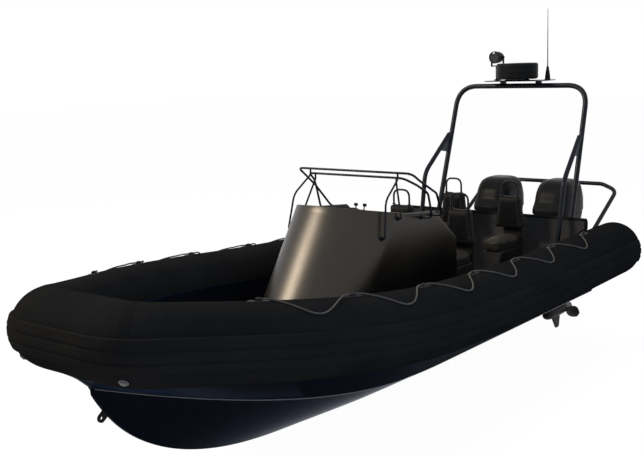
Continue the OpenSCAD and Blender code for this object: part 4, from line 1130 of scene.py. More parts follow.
@dataclass(frozen=True)
class CollarPath:
    """Centre line of the inflated collar on the port side, as a distance from its stern end."""

    radius: float = 0.300
    half_beam: float = 1.350
    widest_x: float = 0.600
    stern_x: float = -3.300
    bow_x: float = 3.150
    bend_r: float = 3.660
    taper: float = math.radians(1.2)
    sweep: float = math.radians(27.5)
    corner_r: float = 0.300
    base_z: float = 0.565
    sheer_start: float = -1.500
    sheer_rise: float = 0.338

    def on_bend(self, turn: float) -> tuple[float, float]:
        """Plan point of the long bend at an angle ahead of its widest point."""
        return (self.widest_x + self.bend_r * math.sin(turn),
                self.half_beam - self.bend_r * (1 - math.cos(turn)))

    @cached_property
    def bend_in(self) -> tuple[float, float]:
        """Plan point where the long bend starts."""
        return self.on_bend(-self.taper)

    @cached_property
    def bend_out(self) -> tuple[float, float]:
        """Plan point where the long bend ends."""
        return self.on_bend(self.sweep)

    @cached_property
    def corner_in(self) -> tuple[float, float]:
        """Plan point where the bow corner starts."""
        x = self.bow_x - self.corner_r * (1 - math.sin(self.sweep))
        return x, self.bend_out[1] - (x - self.bend_out[0]) * math.tan(self.sweep)

    @cached_property
    def corner_out_y(self) -> float:
        """Half breadth where the bow corner ends."""
        return self.corner_in[1] - self.corner_r * math.cos(self.sweep)

    @cached_property
    def runs(self) -> tuple[float, float, float, float, float]:
        """Distances at which the straights, the bend and the corner end, the last at the centre line.

        Returns:
            Five distances along the path, from the stern end.
        """
        first = (self.bend_in[0] - self.stern_x) / math.cos(self.taper)
        second = first + self.bend_r * (self.taper + self.sweep)
        third = second + (self.corner_in[0] - self.bend_out[0]) / math.cos(self.sweep)
        fourth = third + self.corner_r * (math.pi / 2 - self.sweep)
        return first, second, third, fourth, fourth + self.corner_out_y

    @cached_property
    def mitre_run(self) -> float:
        """Distance at which the bow corner is halfway round."""
        return 0.5 * (self.runs[2] + self.runs[3])

    @cached_property
    def widest_run(self) -> float:
        """Distance at which the collar is widest."""
        return self.runs[0] + self.bend_r * self.taper

    def angle(self, s: Array) -> Array:
        """Heading in plan: constant on straights, falling evenly along bends.

        Args:
            s: Distances along the path.

        Returns:
            Headings in radians.
        """
        first, second, third, fourth, _ = self.runs
        return np.select(
            [s < first, s < second, s < third, s < fourth],
            [self.taper, self.taper - (s - first) / self.bend_r, -self.sweep,
             -self.sweep - (s - third) / self.corner_r],
            -math.pi / 2,
        )

    def mid(self, s: Array) -> Array:
        """Points of the centre line: plan from straights and arcs, height from a parabola.

        Args:
            s: Distances along the path.

        Returns:
            Points of the port half.
        """
        first, second, third, fourth, _ = self.runs
        a = self.angle(s)
        where = [s < first, s < second, s < third, s < fourth]
        x = np.select(where, [
            self.bend_in[0] - (first - s) * np.cos(a), self.widest_x - self.bend_r * np.sin(a),
            self.bend_out[0] + (s - second) * np.cos(a),
            self.corner_in[0] - self.corner_r * (math.sin(self.sweep) + np.sin(a))], self.bow_x)
        y = np.select(where, [
            self.bend_in[1] - (first - s) * np.sin(a), self.half_beam - self.bend_r * (1 - np.cos(a)),
            self.bend_out[1] + (s - second) * np.sin(a),
            self.corner_in[1] + self.corner_r * (np.cos(a) - math.cos(self.sweep))],
            self.corner_out_y - (s - fourth))
        return np.stack([x, y, self.sheer(x)], -1)

    def sheer(self, x: Array) -> Array:
        """Height of the centre line: level, then rising with the square of the distance."""
        share = np.maximum(0.0, x - self.sheer_start) / (self.bow_x - self.sheer_start)
        return self.base_z + self.sheer_rise * share ** 2

    def axes(self, s: Array) -> tuple[Array, Array, Array]:
        """Directions along, out of and up from the centre line.

        Args:
            s: Distances.

        Returns:
            Three arrays of unit vectors.
        """
        a = self.angle(s)
        x = self.mid(s)[..., 0]
        span = self.bow_x - self.sheer_start
        slope = 2 * self.sheer_rise * np.maximum(0.0, x - self.sheer_start) / span ** 2
        along = unit(np.stack([np.cos(a), np.sin(a), slope * np.cos(a)], -1))
        out = np.stack([-np.sin(a), np.cos(a), np.zeros_like(a)], -1)
        return along, out, np.cross(along, out)

    def at(self, s: Array, around: Array, reach: Array | float) -> Array:
        """Points at an angle about the centre line: 0 is outboard and a quarter turn is up.

        Args:
            s: Distances along the centre line.
            around: Angles in radians.
            reach: Distances from the centre line.

        Returns:
            Points, in the common shape of the three.
        """
        s, around, reach = np.broadcast_arrays(np.asarray(s, float), around, reach)
        _, out, up = self.axes(s)
        away = np.cos(around)[..., None] * out + np.sin(around)[..., None] * up
        return self.mid(s) + reach[..., None] * away

    def across(self, q: Array, around: Array, reach: Array | float) -> Array:
        """Points as from at(), for distances that go on over the bow to the starboard stern end.

        Args:
            q: Distances from the port stern end.
            around: Angles round the tube.
            reach: Distances from the centre line.

        Returns:
            Points on both halves.
        """
        q, around, reach = np.broadcast_arrays(np.asarray(q, float), around, reach)
        whole = 2 * self.runs[4]
        points = self.at(np.minimum(q, whole - q), around, reach)
        return np.where((q > whole / 2)[..., None], flip_y(points), points)

    def run_at(self, x: float) -> float:
        """Distance along the centre line at a station aft of the bow corner.

        Args:
            x: Station.

        Returns:
            Distance from the stern end.
        """
        first, second, _, _, _ = self.runs
        if x < self.bend_in[0]:
            return first - (self.bend_in[0] - x) / math.cos(self.taper)
        if x < self.bend_out[0]:
            return first + self.bend_r * (self.taper + math.asin((x - self.widest_x) / self.bend_r))
        return second + (x - self.bend_out[0]) / math.cos(self.sweep)

    def half_at(self, x: float) -> float:
        """Half breadth of the centre line at a station aft of the bow corner."""
        return float(self.mid(np.array(self.run_at(x)))[1])


PATH = CollarPath()


@dataclass
class Collar:
    """Inflated collar in three lengths, with its seam tapes, strake, pads, lifelines and valves."""

    cap_len: float = 0.232
    tape_half: float = 0.024
    tape_t: float = 0.0014
    tape_lift: float = 0.0002
    tape_sunk: float = 0.002
    tape_from: float = math.radians(-66)
    tape_to: float = math.radians(196)
    sides: int = 96
    strake_half: float = math.radians(24)
    strake_t: float = 0.024
    strake_gap: float = FIT
    pad_stations: tuple[float, ...] = (2.350, 1.610, 0.820, 0.0, -0.810, -1.620, -2.430)
    pad_len: float = 0.170
    pad_w: float = 0.060
    pad_t: float = 0.008
    rope_d: float = 0.014
    rope_sag: float = math.radians(40)
    rope_lay: float = 0.045
    rope_step: float = 0.009
    rope_dent: float = 0.16
    valve_d: float = 0.072
    valve_turn: float = math.radians(-42)
    valve_sunk: float = 0.004

    @property
    def rope_lift(self) -> float:
        """Height of the lifeline's middle above a pad's foot."""
        return self.pad_t + self.rope_d / 2 + 0.003

    def build(self) -> None:
        """Make every piece of the collar."""
        self.lengths()
        self.tapes()
        self.strake()
        self.pads()
        self.lifelines()
        self.valves()

    def lengths(self) -> None:
        """Tubes: a circle carried along the centre line, with an ellipsoid cap at each stern end."""
        around = full_turn(self.sides)[None]
        third = PATH.runs[2]
        s = np.linspace(0.0, third, 150)[:, None]
        body = PATH.at(s, around, PATH.radius)
        turn = np.linspace(np.pi / 2 - 0.06, 0.0, 15, endpoint=False)[:, None]
        cap = PATH.at(np.zeros_like(turn), around, PATH.radius * np.cos(turn))
        cap = cap - PATH.axes(np.zeros(1))[0] * self.cap_len * np.sin(turn)[..., None]
        side = loft(np.concatenate([cap, body]))
        put("collar_port_skin", side, FINISH.collar, "collar_port")
        put("collar_starboard_skin", side.mirrored(), FINISH.collar, "collar_starboard")
        q = np.linspace(third, 2 * PATH.runs[4] - third, 110)[:, None]
        bow = loft(PATH.across(q, around, PATH.radius))
        put("collar_bow_skin", bow, FINISH.collar, "collar_bow")

    def tape(self, q: float) -> Skin:
        """Strip glued round the tube: a thin band whose edges taper to nothing.

        Args:
            q: Distance of its middle along the centre line.

        Returns:
            Closed surface.
        """
        rows = 13
        u = np.linspace(-1.0, 1.0, rows)[:, None]
        around = np.linspace(self.tape_from, self.tape_to, 80)[None]
        along = q + u * self.tape_half
        raised = self.tape_t * (1 - u ** 8)
        upper = PATH.across(along, around, PATH.radius + self.tape_lift + raised)
        lower = PATH.across(along, around, PATH.radius - self.tape_sunk + 0 * raised)
        shell = np.concatenate([upper, lower[::-1]])
        ends = [grid(np.stack([shell[:rows, k], shell[rows:][::-1, k]])) for k in (0, -1)]
        return join([grid(shell, wrap_rows=True), *ends])

    def tapes(self) -> None:
        """Seam tapes where the lengths meet and at the mitres of the bow."""
        whole = 2 * PATH.runs[4]
        bands = [self.tape(q) for port in (PATH.runs[2], PATH.mitre_run) for q in (port, whole - port)]
        put("collar_seam_tapes", join(bands), FINISH.tape)

    def strake(self) -> None:
        """Rubbing strake: a grooved profile carried round the collar."""
        half = np.array([(0.19, 1), (0.22, 0.97), (0.27, 0.7), (0.37, 0.7), (0.42, 0.97), (0.45, 1),
                         (0.9, 0.85), (1, 0.2), (1, 0)])
        share = np.concatenate([-half[::-1, 0], half[:, 0]])
        rise = np.concatenate([half[::-1, 1], half[:, 1]])
        base = np.linspace(1.0, -1.0, 15)[1:-1]
        around = np.concatenate([share, base]) * self.strake_half
        reach = PATH.radius + self.strake_gap + self.strake_t * np.concatenate([rise, 0 * base])
        q = np.linspace(0.0, 2 * PATH.runs[4], 420)[:, None]
        rings = PATH.across(q, around[None], reach[None])
        put("rubbing_strake", loft(rings), FINISH.strake, "rub_strake", crease=30.0)

    def on_tube(self, station: float, points: Array) -> Array:
        """Wrap a flat piece on to the port tube's top: X goes along it, Y round it and Z out of it."""
        around = np.pi / 2 - points[:, 1] / PATH.radius
        return PATH.at(PATH.run_at(station) + points[:, 0], around, PATH.radius + points[:, 2])

    def pads(self) -> None:
        """Lifeline pads: a domed stadium with a raised rim, and an arched bridge over the lifeline."""
        turn = full_turn(72)
        straight = (self.pad_len - self.pad_w) / 2
        rim = self.pad_w / 2 * np.stack([np.cos(turn), np.sin(turn)], -1)
        shift = np.stack([straight * np.sign(np.cos(turn)), 0 * turn], -1)
        share = np.array([1.0, 1.0, 0.97, 0.9, 0.82, 0.7, 0.5, 0.25, 0.02])[:, None, None]
        lift = np.array([-0.002, 0.003, 0.0055, 0.0065, 0.006, 0.0066, 0.0074, 0.0079, 0.008])[:, None]
        flat = share * rim[None] + shift[None] * np.minimum(1.0, share * 1.1)
        rings = np.concatenate([flat, np.broadcast_to(lift[..., None], flat.shape[:2] + (1,))], -1)
        base = loft(rings)
        arch = np.linspace(0.0, np.pi, 17)
        hole = self.rope_d / 2 + 0.002
        low = 0.55 * self.rope_lift
        rise = hole + 0.004 + self.rope_lift - low - 0.55 * hole
        line = np.stack([0 * arch, (hole + 0.004) * np.cos(arch), low + rise * np.sin(arch) ** 0.7], -1)
        legs = np.concatenate([[[0, hole + 0.005, 0.002]], line, [[0, -hole - 0.005, 0.002]]])
        wide = tube(legs, 0.0042, sides=12, reference=X_AXIS)
        wide.points[:, 0] *= 6.2
        pad = join([base, wide])
        port = join([pad.mapped(lambda p, x=x: self.on_tube(x, p)) for x in self.pad_stations])
        put("lifeline_pads_moulded", port.paired(), FINISH.pad, "lifeline_pads")

    def rope_path(self) -> Array:
        """Centre line of the port lifeline: straight through each bridge, then a swag down the shoulder.

        Returns:
            Points from the aftmost pad to the foremost.
        """
        runs = np.array([PATH.run_at(x) for x in self.pad_stations[::-1]])
        f = np.linspace(0.0, 1.0, 64, endpoint=False)
        gap = np.arange(len(runs) - 1)
        share = np.concatenate([np.tile(f, len(gap)), [1.0]])
        start = np.concatenate([np.repeat(runs[:-1], len(f)), runs[-2:-1]])
        end = np.concatenate([np.repeat(runs[1:], len(f)), runs[-1:]])
        off = np.minimum(share, 1 - share)
        drop = self.rope_sag * smooth_step((off - 0.045) / 0.45)
        near = 1 - smooth_step((off - 0.11) / 0.1)
        lying = PATH.radius + self.rope_d / 2 + 0.0022
        reach = lying + (PATH.radius + self.rope_lift - lying) * near
        return PATH.at(start + share * (end - start), np.pi / 2 - drop, reach)

    def lifelines(self) -> None:
        """Lifelines: three strands laid together, whose bulges wind along the rope."""
        path = self.rope_path()
        steps = np.linalg.norm(np.diff(path, axis=0), axis=1)
        travel = np.concatenate([[0.0], np.cumsum(steps)])
        fine = np.linspace(0.0, travel[-1], int(travel[-1] / self.rope_step))
        line = np.stack([np.interp(fine, travel, path[:, k]) for k in range(3)], -1)
        sides = 18
        rope = tube(line, self.rope_d / 2, sides, reference=Z_AXIS)
        count = len(line) * sides
        turn = np.tile(full_turn(sides), len(line))
        wind = np.repeat(fine, sides) * 2 * np.pi / self.rope_lay
        dent = self.rope_dent * np.abs(np.cos(1.5 * turn - 0.5 * wind)) ** 6
        centres = np.repeat(line, sides, axis=0)
        rope.points[:count] = centres + (rope.points[:count] - centres) * (1 - dent)[:, None]
        for side in Side:
            mirror = side is Side.STARBOARD
            skin = rope.mirrored() if mirror else rope
            piece = put(f"lifeline_{side.word}_rope", skin, FINISH.rope, f"lifeline_{side.word}")

    def valves(self) -> None:
        """Inflation valves: a flange and a domed cap with a slot ring, low on the bow's corners."""
        profile = [(1, -0.006), (1, 0.006), (0.93, 0.009), (0.78, 0.010), (0.76, 0.006), (0.70, 0.006),
                   (0.68, 0.016), (0.60, 0.0185), (0.35, 0.0195), (0.1, 0.02)]
        cap = revolve(np.array(profile) * (self.valve_d / 2, 1.0))
        s, a = np.array(PATH.mitre_run), np.array(self.valve_turn)
        along, out, up = PATH.axes(s)
        normal = math.cos(a) * out + math.sin(a) * up
        origin = PATH.at(s, a, PATH.radius - self.valve_sunk)
        port = cap.mapped(lambda p: placed(p, origin, along, normal))
        put("valve_caps", port.paired(), FINISH.valve, "inflation_valves")


# Hull


@dataclass
class Hull:
    """Deep-V hull with a chine lip and the flange that carries the collar."""

    keel_z: float = -0.470
    keel_half: float = 0.018
    stem_x: float = 3.154
    stem_z: float = 0.500
    stem_half: float = 0.020
    chine_half: float = 0.980
    chine_z: float = 0.030
    chine_lip: float = 0.035
    deck_z: float = 0.300
    deck_rise: float = 0.380
    deck_rise_x: float = 1.700
    flange_t: float = 0.025
    seat_gap: float = 0.003
    belly: float = 0.025
    lip_rise: float = 0.012
    # Radius of the light tube along the chine, a painted highlight
    bead_r: float = 0.0045
    # Degrees about the collar's centre line: the seat's lower edge aft and at the stem, and its upper edge
    seat_low: float = -114.0
    seat_stem: float = -66.0
    seat_high: float = -186.0

    def build(self) -> None:
        """Make the hull's skin and the light line along its chine, a painted highlight."""
        ahead = np.linspace(PATH.runs[3], PATH.runs[4] - self.stem_half, 24)
        runs = np.concatenate([np.linspace(0.0, PATH.runs[3], 150), ahead[1:]])
        half, bottom = self.half_sections(runs)
        half[0, :, 0] = PATH.stern_x
        count = half.shape[1]
        rings = np.concatenate([half, flip_y(half[:, ::-1])], 1)
        port = np.arange(count)
        mate = 2 * count - 1 - port
        strip = np.stack([port[:-1], port[1:], mate[1:], mate[:-1]], -1)
        skin = grid(rings, wrap_cols=True)
        last = (len(runs) - 1) * 2 * count
        stern = strip[: bottom]
        fans = np.stack([np.full(count - 2 - bottom, count - 1), np.arange(bottom, count - 2),
                         np.arange(bottom + 1, count - 1)], -1)
        ledge = np.array([[bottom, count - 1, mate[count - 1], mate[bottom]]])
        quads = np.concatenate([skin.quads, stern, ledge, strip + last])
        tris = np.concatenate([fans, 2 * count - 1 - fans])
        put("hull_skin", Skin(skin.points, quads, tris), FINISH.gelcoat, "hull", crease=26.0)
        self.chine_line(runs)

    def fore(self, s: Array) -> Array:
        """Share of the way from the widest section to the stem."""
        return np.clip((s - PATH.widest_run) / (PATH.runs[4] - PATH.widest_run), 0.0, 1.0)

    def lines(self, s: Array) -> tuple[Array, Array, Array, Array]:
        """Station, chine half breadth, chine height and keel height, each a power of the way to the stem.

        Args:
            s: Distances along the collar's path.

        Returns:
            The four measures at each distance.
        """
        w = self.fore(s)
        x = np.where(w > 0, PATH.widest_x + (self.stem_x - PATH.widest_x) * w, PATH.mid(s)[..., 0])
        ahead = np.maximum(0.0, x) / self.stem_x
        chine_y = self.stem_half + (self.chine_half - self.stem_half) * (1 - w ** 2.2)
        chine_z = self.chine_z + (self.stem_z - self.chine_z) * ahead ** 2
        forefoot = 0.75 * ahead ** 3.6 + 0.25 * ahead ** 14
        keel = self.keel_z + (self.stem_z - 0.020 - self.keel_z) * forefoot
        return x, chine_y, chine_z, keel

    def half_sections(self, runs: Array) -> tuple[Array, int]:
        """Port half sections from keel to deck edge.

        The bottom is the parabola through keel, quarter and chine. Then come the lip, the seat on the
        collar's own circle, the flange's top and the deck's edge.

        Args:
            runs: Distances along the collar's centre line.

        Returns:
            Points, sections by points, and the index of the seat's first point.
        """
        s = runs[:, None]
        x, cy, cz, kz = self.lines(runs)
        w = self.fore(runs)
        t = np.linspace(0.0, 1.0, 25)[None]
        k, m, c = (1 - t) * (1 - 2 * t), 4 * t * (1 - t), t * (2 * t - 1)
        mid_y = 0.5 * (self.keel_half + cy)
        mid_z = 0.5 * (kz + cz) - self.belly * (1 - 2 * w)
        y = k * self.keel_half + m * mid_y[:, None] + c * cy[:, None]
        z = k * kz[:, None] + m * mid_z[:, None] + c * cz[:, None]
        bottom = np.stack([np.broadcast_to(x[:, None], y.shape), y, z], -1)
        lip = self.chine_lip * (1 - w ** 4)
        edge = np.stack([x, cy + lip, cz + self.lip_rise], -1)[:, None]
        first = np.radians(self.seat_low + (self.seat_stem - self.seat_low) * w ** 2)[:, None]
        last = math.radians(self.seat_high)
        share = np.linspace(0.0, 1.0, 22)[None]
        reach = PATH.radius + self.seat_gap
        seat = PATH.at(s, first + share * (last - first), reach)
        out = PATH.axes(runs)[1]
        top = seat[:, -1]
        inner = top - self.flange_t * out
        rim = inner - 0.6 * self.flange_t * out
        rim[:, 2] = self.deck_height(x)
        sections = np.concatenate([bottom, edge, seat, inner[:, None], rim[:, None]], 1)
        return sections, bottom.shape[1] + 1

    def deck_height(self, x: Array) -> Array:
        """Height of the deck: level, then rising towards the bow with the power 1.5."""
        share = np.clip((x - self.deck_rise_x) / (self.stem_x - self.deck_rise_x), 0.0, 1.0)
        return self.deck_z + self.deck_rise * share ** 1.5

    def chine_line(self, runs: Array) -> None:
        """Thin light tube along the lip's edge, a painted highlight of the chine.

        Args:
            runs: Distances along the collar's path.
        """
        x, cy, cz, _ = self.lines(runs)
        lip = self.chine_lip * (1 - self.fore(runs) ** 4)
        path = np.stack([x, cy + lip + 0.001, cz + 0.011], -1)
        highlight = tube(path, self.bead_r, sides=10, reference=Z_AXIS)
        # The valve grey tube is a painted highlight along the chine's edge
        put("chine_painted_highlight", highlight.paired(), FINISH.valve)


# Stern


@dataclass
class Stern:
    """Transom, curved bulkhead ahead of the motor well, and the guard rail behind the motors."""

    sole_z: float = SOLE_Z
    transom_t: float = 0.060
    transom_half: float = 0.9283
    transom_top: float = 0.480
    capping: float = 0.012
    face_x: float = -2.680
    lean: float = 0.110
    top_z: float = 0.950
    wall: float = 0.040
    half: float = 1.150
    low_half: float = 1.000
    tube_gap: float = 0.014
    rail_r: float = 0.025
    rail_half: float = 0.905
    rail_x: float = -4.290
    rail_z: float = 1.160
    rail_bend: float = 0.220

    def build(self) -> None:
        """Make every piece of the stern."""
        self.transom()
        self.bulkhead()
        self.rail()

    def transom(self) -> None:
        """Transom: a rounded plate across the stern, with a capping strip along its top."""
        rise = self.transom_top - self.sole_z
        plate = rounded_block((self.transom_t, 2 * self.transom_half, rise), 0.008)
        plate = plate.moved((PATH.stern_x + self.transom_t / 2, 0.0, self.sole_z + rise / 2))
        put("transom_plate", plate, FINISH.liner, "transom")
        cap = rounded_block((self.transom_t + self.capping, 2 * self.transom_half, self.capping), 0.005)
        cap = cap.moved((PATH.stern_x + self.transom_t / 2, 0.0, self.transom_top - 0.003))
        put("transom_capping", cap, FINISH.tape)

    def breadth(self, z: Array) -> Array:
        """Half breadth of the bulkhead: narrow at the sole, hollowed round the tube, full above it.

        Args:
            z: Heights.

        Returns:
            Half breadth at each height.
        """
        reach = PATH.radius + self.tube_gap
        tube_y = PATH.half_at(self.face_x - self.lean / 2)
        hollow = tube_y - np.sqrt(np.maximum(0.0, reach ** 2 - (z - PATH.base_z) ** 2))
        low = np.where(z < PATH.base_z + 0.3 * PATH.radius, self.low_half, self.half)
        return np.minimum(np.minimum(hollow, low), self.half)

    def bulkhead(self) -> None:
        """Bulkhead: a wall whose face leans aft along a parabola, with a rolled rim along its upper edge."""
        rise = self.top_z - self.sole_z
        z = np.linspace(self.sole_z, self.top_z, 46)[:, None]
        up = (z - self.sole_z) / rise
        across = np.linspace(-1.0, 1.0, 49)[None]
        face = self.face_x - self.lean * (1 - (1 - up) ** 2)
        y = across * self.breadth(z)
        front, back = (np.stack(np.broadcast_arrays(face - d, y, z), -1) for d in (0.0, self.wall))
        rings = np.concatenate([front, back[:, ::-1]], 1)
        put("bulkhead_wall", loft(rings), FINISH.liner, "aft_bulkhead", crease=50.0)
        low = 24
        line = np.concatenate([front[low:, 0], front[-1, 1:-1], front[:low - 1:-1, -1]])
        line = line - np.array([self.wall / 2, 0.0, 0.0])
        rim = tube(line, self.wall / 2 + 0.002, sides=16, reference=X_AXIS)
        put("bulkhead_rim", rim, FINISH.tape)

    def rail(self) -> None:
        """Guard rail: a pipe that leans aft from the transom and passes behind the motors."""
        foot = np.array([PATH.stern_x + self.transom_t / 2, self.rail_half, self.transom_top + FIT])
        half = [foot, foot + [0, 0, 0.040], [self.rail_x + 0.030, self.rail_half, self.rail_z - 0.070],
                [self.rail_x, 0.78 * self.rail_half, self.rail_z]]
        route = rounded_route(loop_route(half), self.rail_bend, 14)
        pipe = tube(route, self.rail_r, sides=28, reference=X_AXIS)
        feet = foot_plate(foot, Z_AXIS, 0.046).paired()
        put("stern_rail_pipe", join([pipe, feet]), FINISH.pipe, "stern_rail")


# Console and helm


@dataclass
class Console:
    """Raked half-round console of sheet metal, open at the back."""

    half: float = 0.540
    foot_x: float = 1.206
    rake: float = 0.663
    sole_z: float = SOLE_Z
    back_x: float = -1.070
    wall: float = 0.020
    back_z: float = 0.995
    cut: tuple[float, float] = (-0.674, 1.312)
    brow: tuple[float, float] = (-0.200, 1.356)
    front_z: float = 1.472

    def front(self, z: Array | float) -> Array | float:
        """Station of the raked front at a height."""
        return self.foot_x - self.rake * (z - self.sole_z)

    def columns(self) -> tuple[Array, Array]:
        """Shares along the flat sides and angles round the front, from the port rear edge round to starboard.

        Returns:
            Two columns of the same length.
        """
        kinks = (self.cut, self.brow)
        corners = [(x - self.back_x) / (self.front(z) - self.half - self.back_x) for x, z in kinks]
        share = np.unique(np.concatenate([np.linspace(0.0, 1.0, 15)[:-1], corners]))
        angle = np.linspace(np.pi / 2, -np.pi / 2, 73)
        flat = np.full(len(share), np.pi / 2)
        return (np.concatenate([share, np.ones(len(angle)), share[::-1]])[:, None],
                np.concatenate([flat, angle, -flat])[:, None])

    def section(self, share: Array, angle: Array, z: Array, inset: Array | float) -> Array:
        """Points of a level section: a flat side, the half round about its raked middle, a flat side.

        Args:
            share: Shares along the flat sides, 1 on the half round.
            angle: Angles round the half round.
            z: Heights.
            inset: Distance inside the outer face.

        Returns:
            Points in the common shape of the four.
        """
        radius = self.half - inset
        x = self.back_x + share * (self.front(z) - self.half - self.back_x) + radius * np.cos(angle)
        return np.stack(np.broadcast_arrays(x, radius * np.sin(angle), z), -1)

    def top(self, share: Array, angle: Array, inset: float) -> Array:
        """Height of the cut top in each column, found by stepping to where column and top profile meet.

        Args:
            share: Shares along the flat sides, 1 on the half round.
            angle: Angles round the half round.
            inset: Distance inside the outer face.

        Returns:
            One height per column.
        """
        stations = [self.back_x, self.cut[0], self.brow[0], self.front(self.front_z)]
        heights = [self.back_z, self.cut[1], self.brow[1], self.front_z]
        z = np.full_like(share, self.front_z)
        for _ in range(20):
            z = np.interp(self.section(share, angle, z, inset)[..., 0], stations, heights)
        return z

    def build(self) -> None:
        """Make the wall with its rolled rim, and the foot flange with its bolts."""
        share, angle = self.columns()
        up = np.linspace(0.0, 1.0, 25)[None]
        sides = []
        for inset in (0.0, self.wall):
            top = self.top(share, angle, inset) - self.wall / 2
            sides.append(self.section(share, angle, self.sole_z + up * (top - self.sole_z), inset))
        turn = np.linspace(0.0, np.pi, 9)[1:-1][None, :, None]
        outer, inner = sides[0][:, -1:], sides[1][:, -1:]
        rim = outer + (inner - outer) * (1 - np.cos(turn)) / 2
        rim = rim + np.array([0, 0, self.wall / 2]) * np.sin(turn)
        rings = np.concatenate([sides[0], rim, sides[1][:, ::-1]], 1)
        put("console_wall", loft(rings), FINISH.console, "console_shell", crease=50.0)
        out = np.array([-0.002, 0.004, 0.006, 0.010, 0.042, 0.045, 0.045, -0.002])[None]
        rise = np.array([0.034, 0.034, 0.014, 0.008, 0.007, 0.004, 0.0005, 0.0005])[None]
        flange = loft(self.section(share, angle, self.sole_z + rise, -out))
        spots = self.section(share[::6], angle[::6], np.full_like(share[::6], self.sole_z), -0.028)[:, 0]
        head = [(0.008, 0.006), (0.008, 0.010), (0.006, 0.013), (0.001, 0.0135)]
        bolts = [revolve(head, 12).moved(spot) for spot in spots]
        put("console_foot_flange", join([flange, *bolts]), FINISH.console)


@dataclass
class Helm:
    """Dashboard with blank displays and rocker switches, the steering wheel and the throttle."""

    half: float = 0.5197
    middle: tuple[float, float, float] = (-0.505, -0.330, 1.1125)
    out: tuple[float, float, float] = (-0.8983, 0.0, 0.4392)
    profile: tuple[tuple[float, float], ...] = (
        (-0.330, SOLE_Z), (-0.060, SOLE_Z), (-0.060, 1.270), (-0.380, 1.270), (-0.450, 1.225),
        (-0.560, 1.000), (-0.330, 0.930))
    wheel_r: float = 0.160
    rim_r: float = 0.013
    stand: float = 0.090
    throttle_at: tuple[float, float, float] = (-0.280, -0.080, 1.270)
    throttle_lean: float = math.radians(15)
    display: tuple[float, float] = (0.300, 0.190)
    display_right: tuple[float, float] = (-0.335, -0.685)

    def on_face(self, skin: Skin, right: float = 0.0, up: float = 0.0, out: float = 0.0) -> Skin:
        """Set a piece on the instrument face: its X goes to starboard, its Y up the face and its Z out."""
        return skin.moved((right, up, out)).mapped(lambda p: placed(p, self.middle, (0, -1, 0), self.out))

    def build(self) -> None:
        """Make the dashboard, the wheel and the throttle."""
        block = on_edge(slab(rounded_outline(self.profile, 0.014, 4), 2 * self.half, 0.006))
        put("dashboard_moulding", block, FINISH.plastic, "dashboard")
        corners = rectangle(*self.display)
        frame = slab(rounded_outline(corners, 0.014), 0.022, 0.006)
        pane = slab(rounded_outline(0.9 * corners, 0.006), 0.006, 0.002)
        frames = [self.on_face(frame, right, 0.0, 0.006) for right in self.display_right]
        panes = [self.on_face(pane, right, 0.004, 0.016) for right in self.display_right]
        switches = [self.on_face(rounded_block((0.020, 0.034, 0.020), 0.004), 0.150, 0.075 - 0.038 * k, 0.008)
                    for k in range(4)]
        put("instrument_frames", join(frames + switches), FINISH.tape)
        put("instrument_panes", join(panes), FINISH.glass)
        self.wheel()
        self.throttle()

    def wheel(self) -> None:
        """Steering wheel: a ring with finger dents, three tapered spokes, a dished hub and its shaft."""
        turn = full_turn(120)
        ring = self.wheel_r * np.stack([np.cos(turn), np.sin(turn), 0 * turn], -1)
        grip = self.rim_r * (1 - 0.05 * np.cos(24 * turn) ** 8)
        rim = tube(ring, grip, sides=18, closed=True, reference=Z_AXIS)
        spokes = []
        for angle in np.radians([90, 210, 330]):
            along = np.linspace(0.020, self.wheel_r - 0.004, 12)
            dish = -0.018 * (1 - along / self.wheel_r)
            path = np.stack([along * np.cos(angle), along * np.sin(angle), dish], -1)
            spokes.append(tube(path, np.linspace(0.014, 0.009, 12), sides=16, reference=Z_AXIS))
        hub = revolve([(0.016, -0.030), (0.039, -0.024), (0.039, 0.002), (0.034, 0.010), (0.020, 0.013),
                       (0.004, 0.014)])
        shaft = revolve([(0.015, -0.140), (0.015, -0.028), (0.022, -0.026)], 24)
        boot = revolve([(0.034, -self.stand), (0.034, -self.stand + 0.010), (0.024, -self.stand + 0.030)], 32)
        wheel = [self.on_face(piece, out=self.stand) for piece in (rim, *spokes, hub, shaft)]
        put("steering_wheel_rim", join(wheel), FINISH.plastic, "steering_wheel", Body.HELM)
        put("steering_boot", self.on_face(boot, out=self.stand), FINISH.tape)

    def throttle(self) -> None:
        """Throttle: a rounded box with a boss, a leaning lever and a knob on each side."""
        x, y, z = self.throttle_at
        box = rounded_block((0.120, 0.090, 0.060), 0.012).moved((x, y, z + 0.030))
        lean = np.array([-math.sin(self.throttle_lean), 0.0, math.cos(self.throttle_lean)])
        pieces = [box]
        for e in SIGNS:
            foot = np.array([x, y + 0.050 * e, z + 0.045])
            pieces.append(turned([(0.022, -0.007), (0.022, 0.006), (0.018, 0.007)], foot, (0, e, 0)))
            pieces.append(tube(np.stack([foot, foot + 0.04 * lean, foot + 0.07 * lean]), 0.006, sides=14))
            knob = [(0.011, -0.014), (0.015, -0.011), (0.0155, 0.0), (0.015, 0.017), (0.011, 0.020)]
            pieces.append(turned(knob, foot + 0.07 * lean, (0, e, 0)))
        put("throttle_box", join(pieces), FINISH.plastic, "throttle")


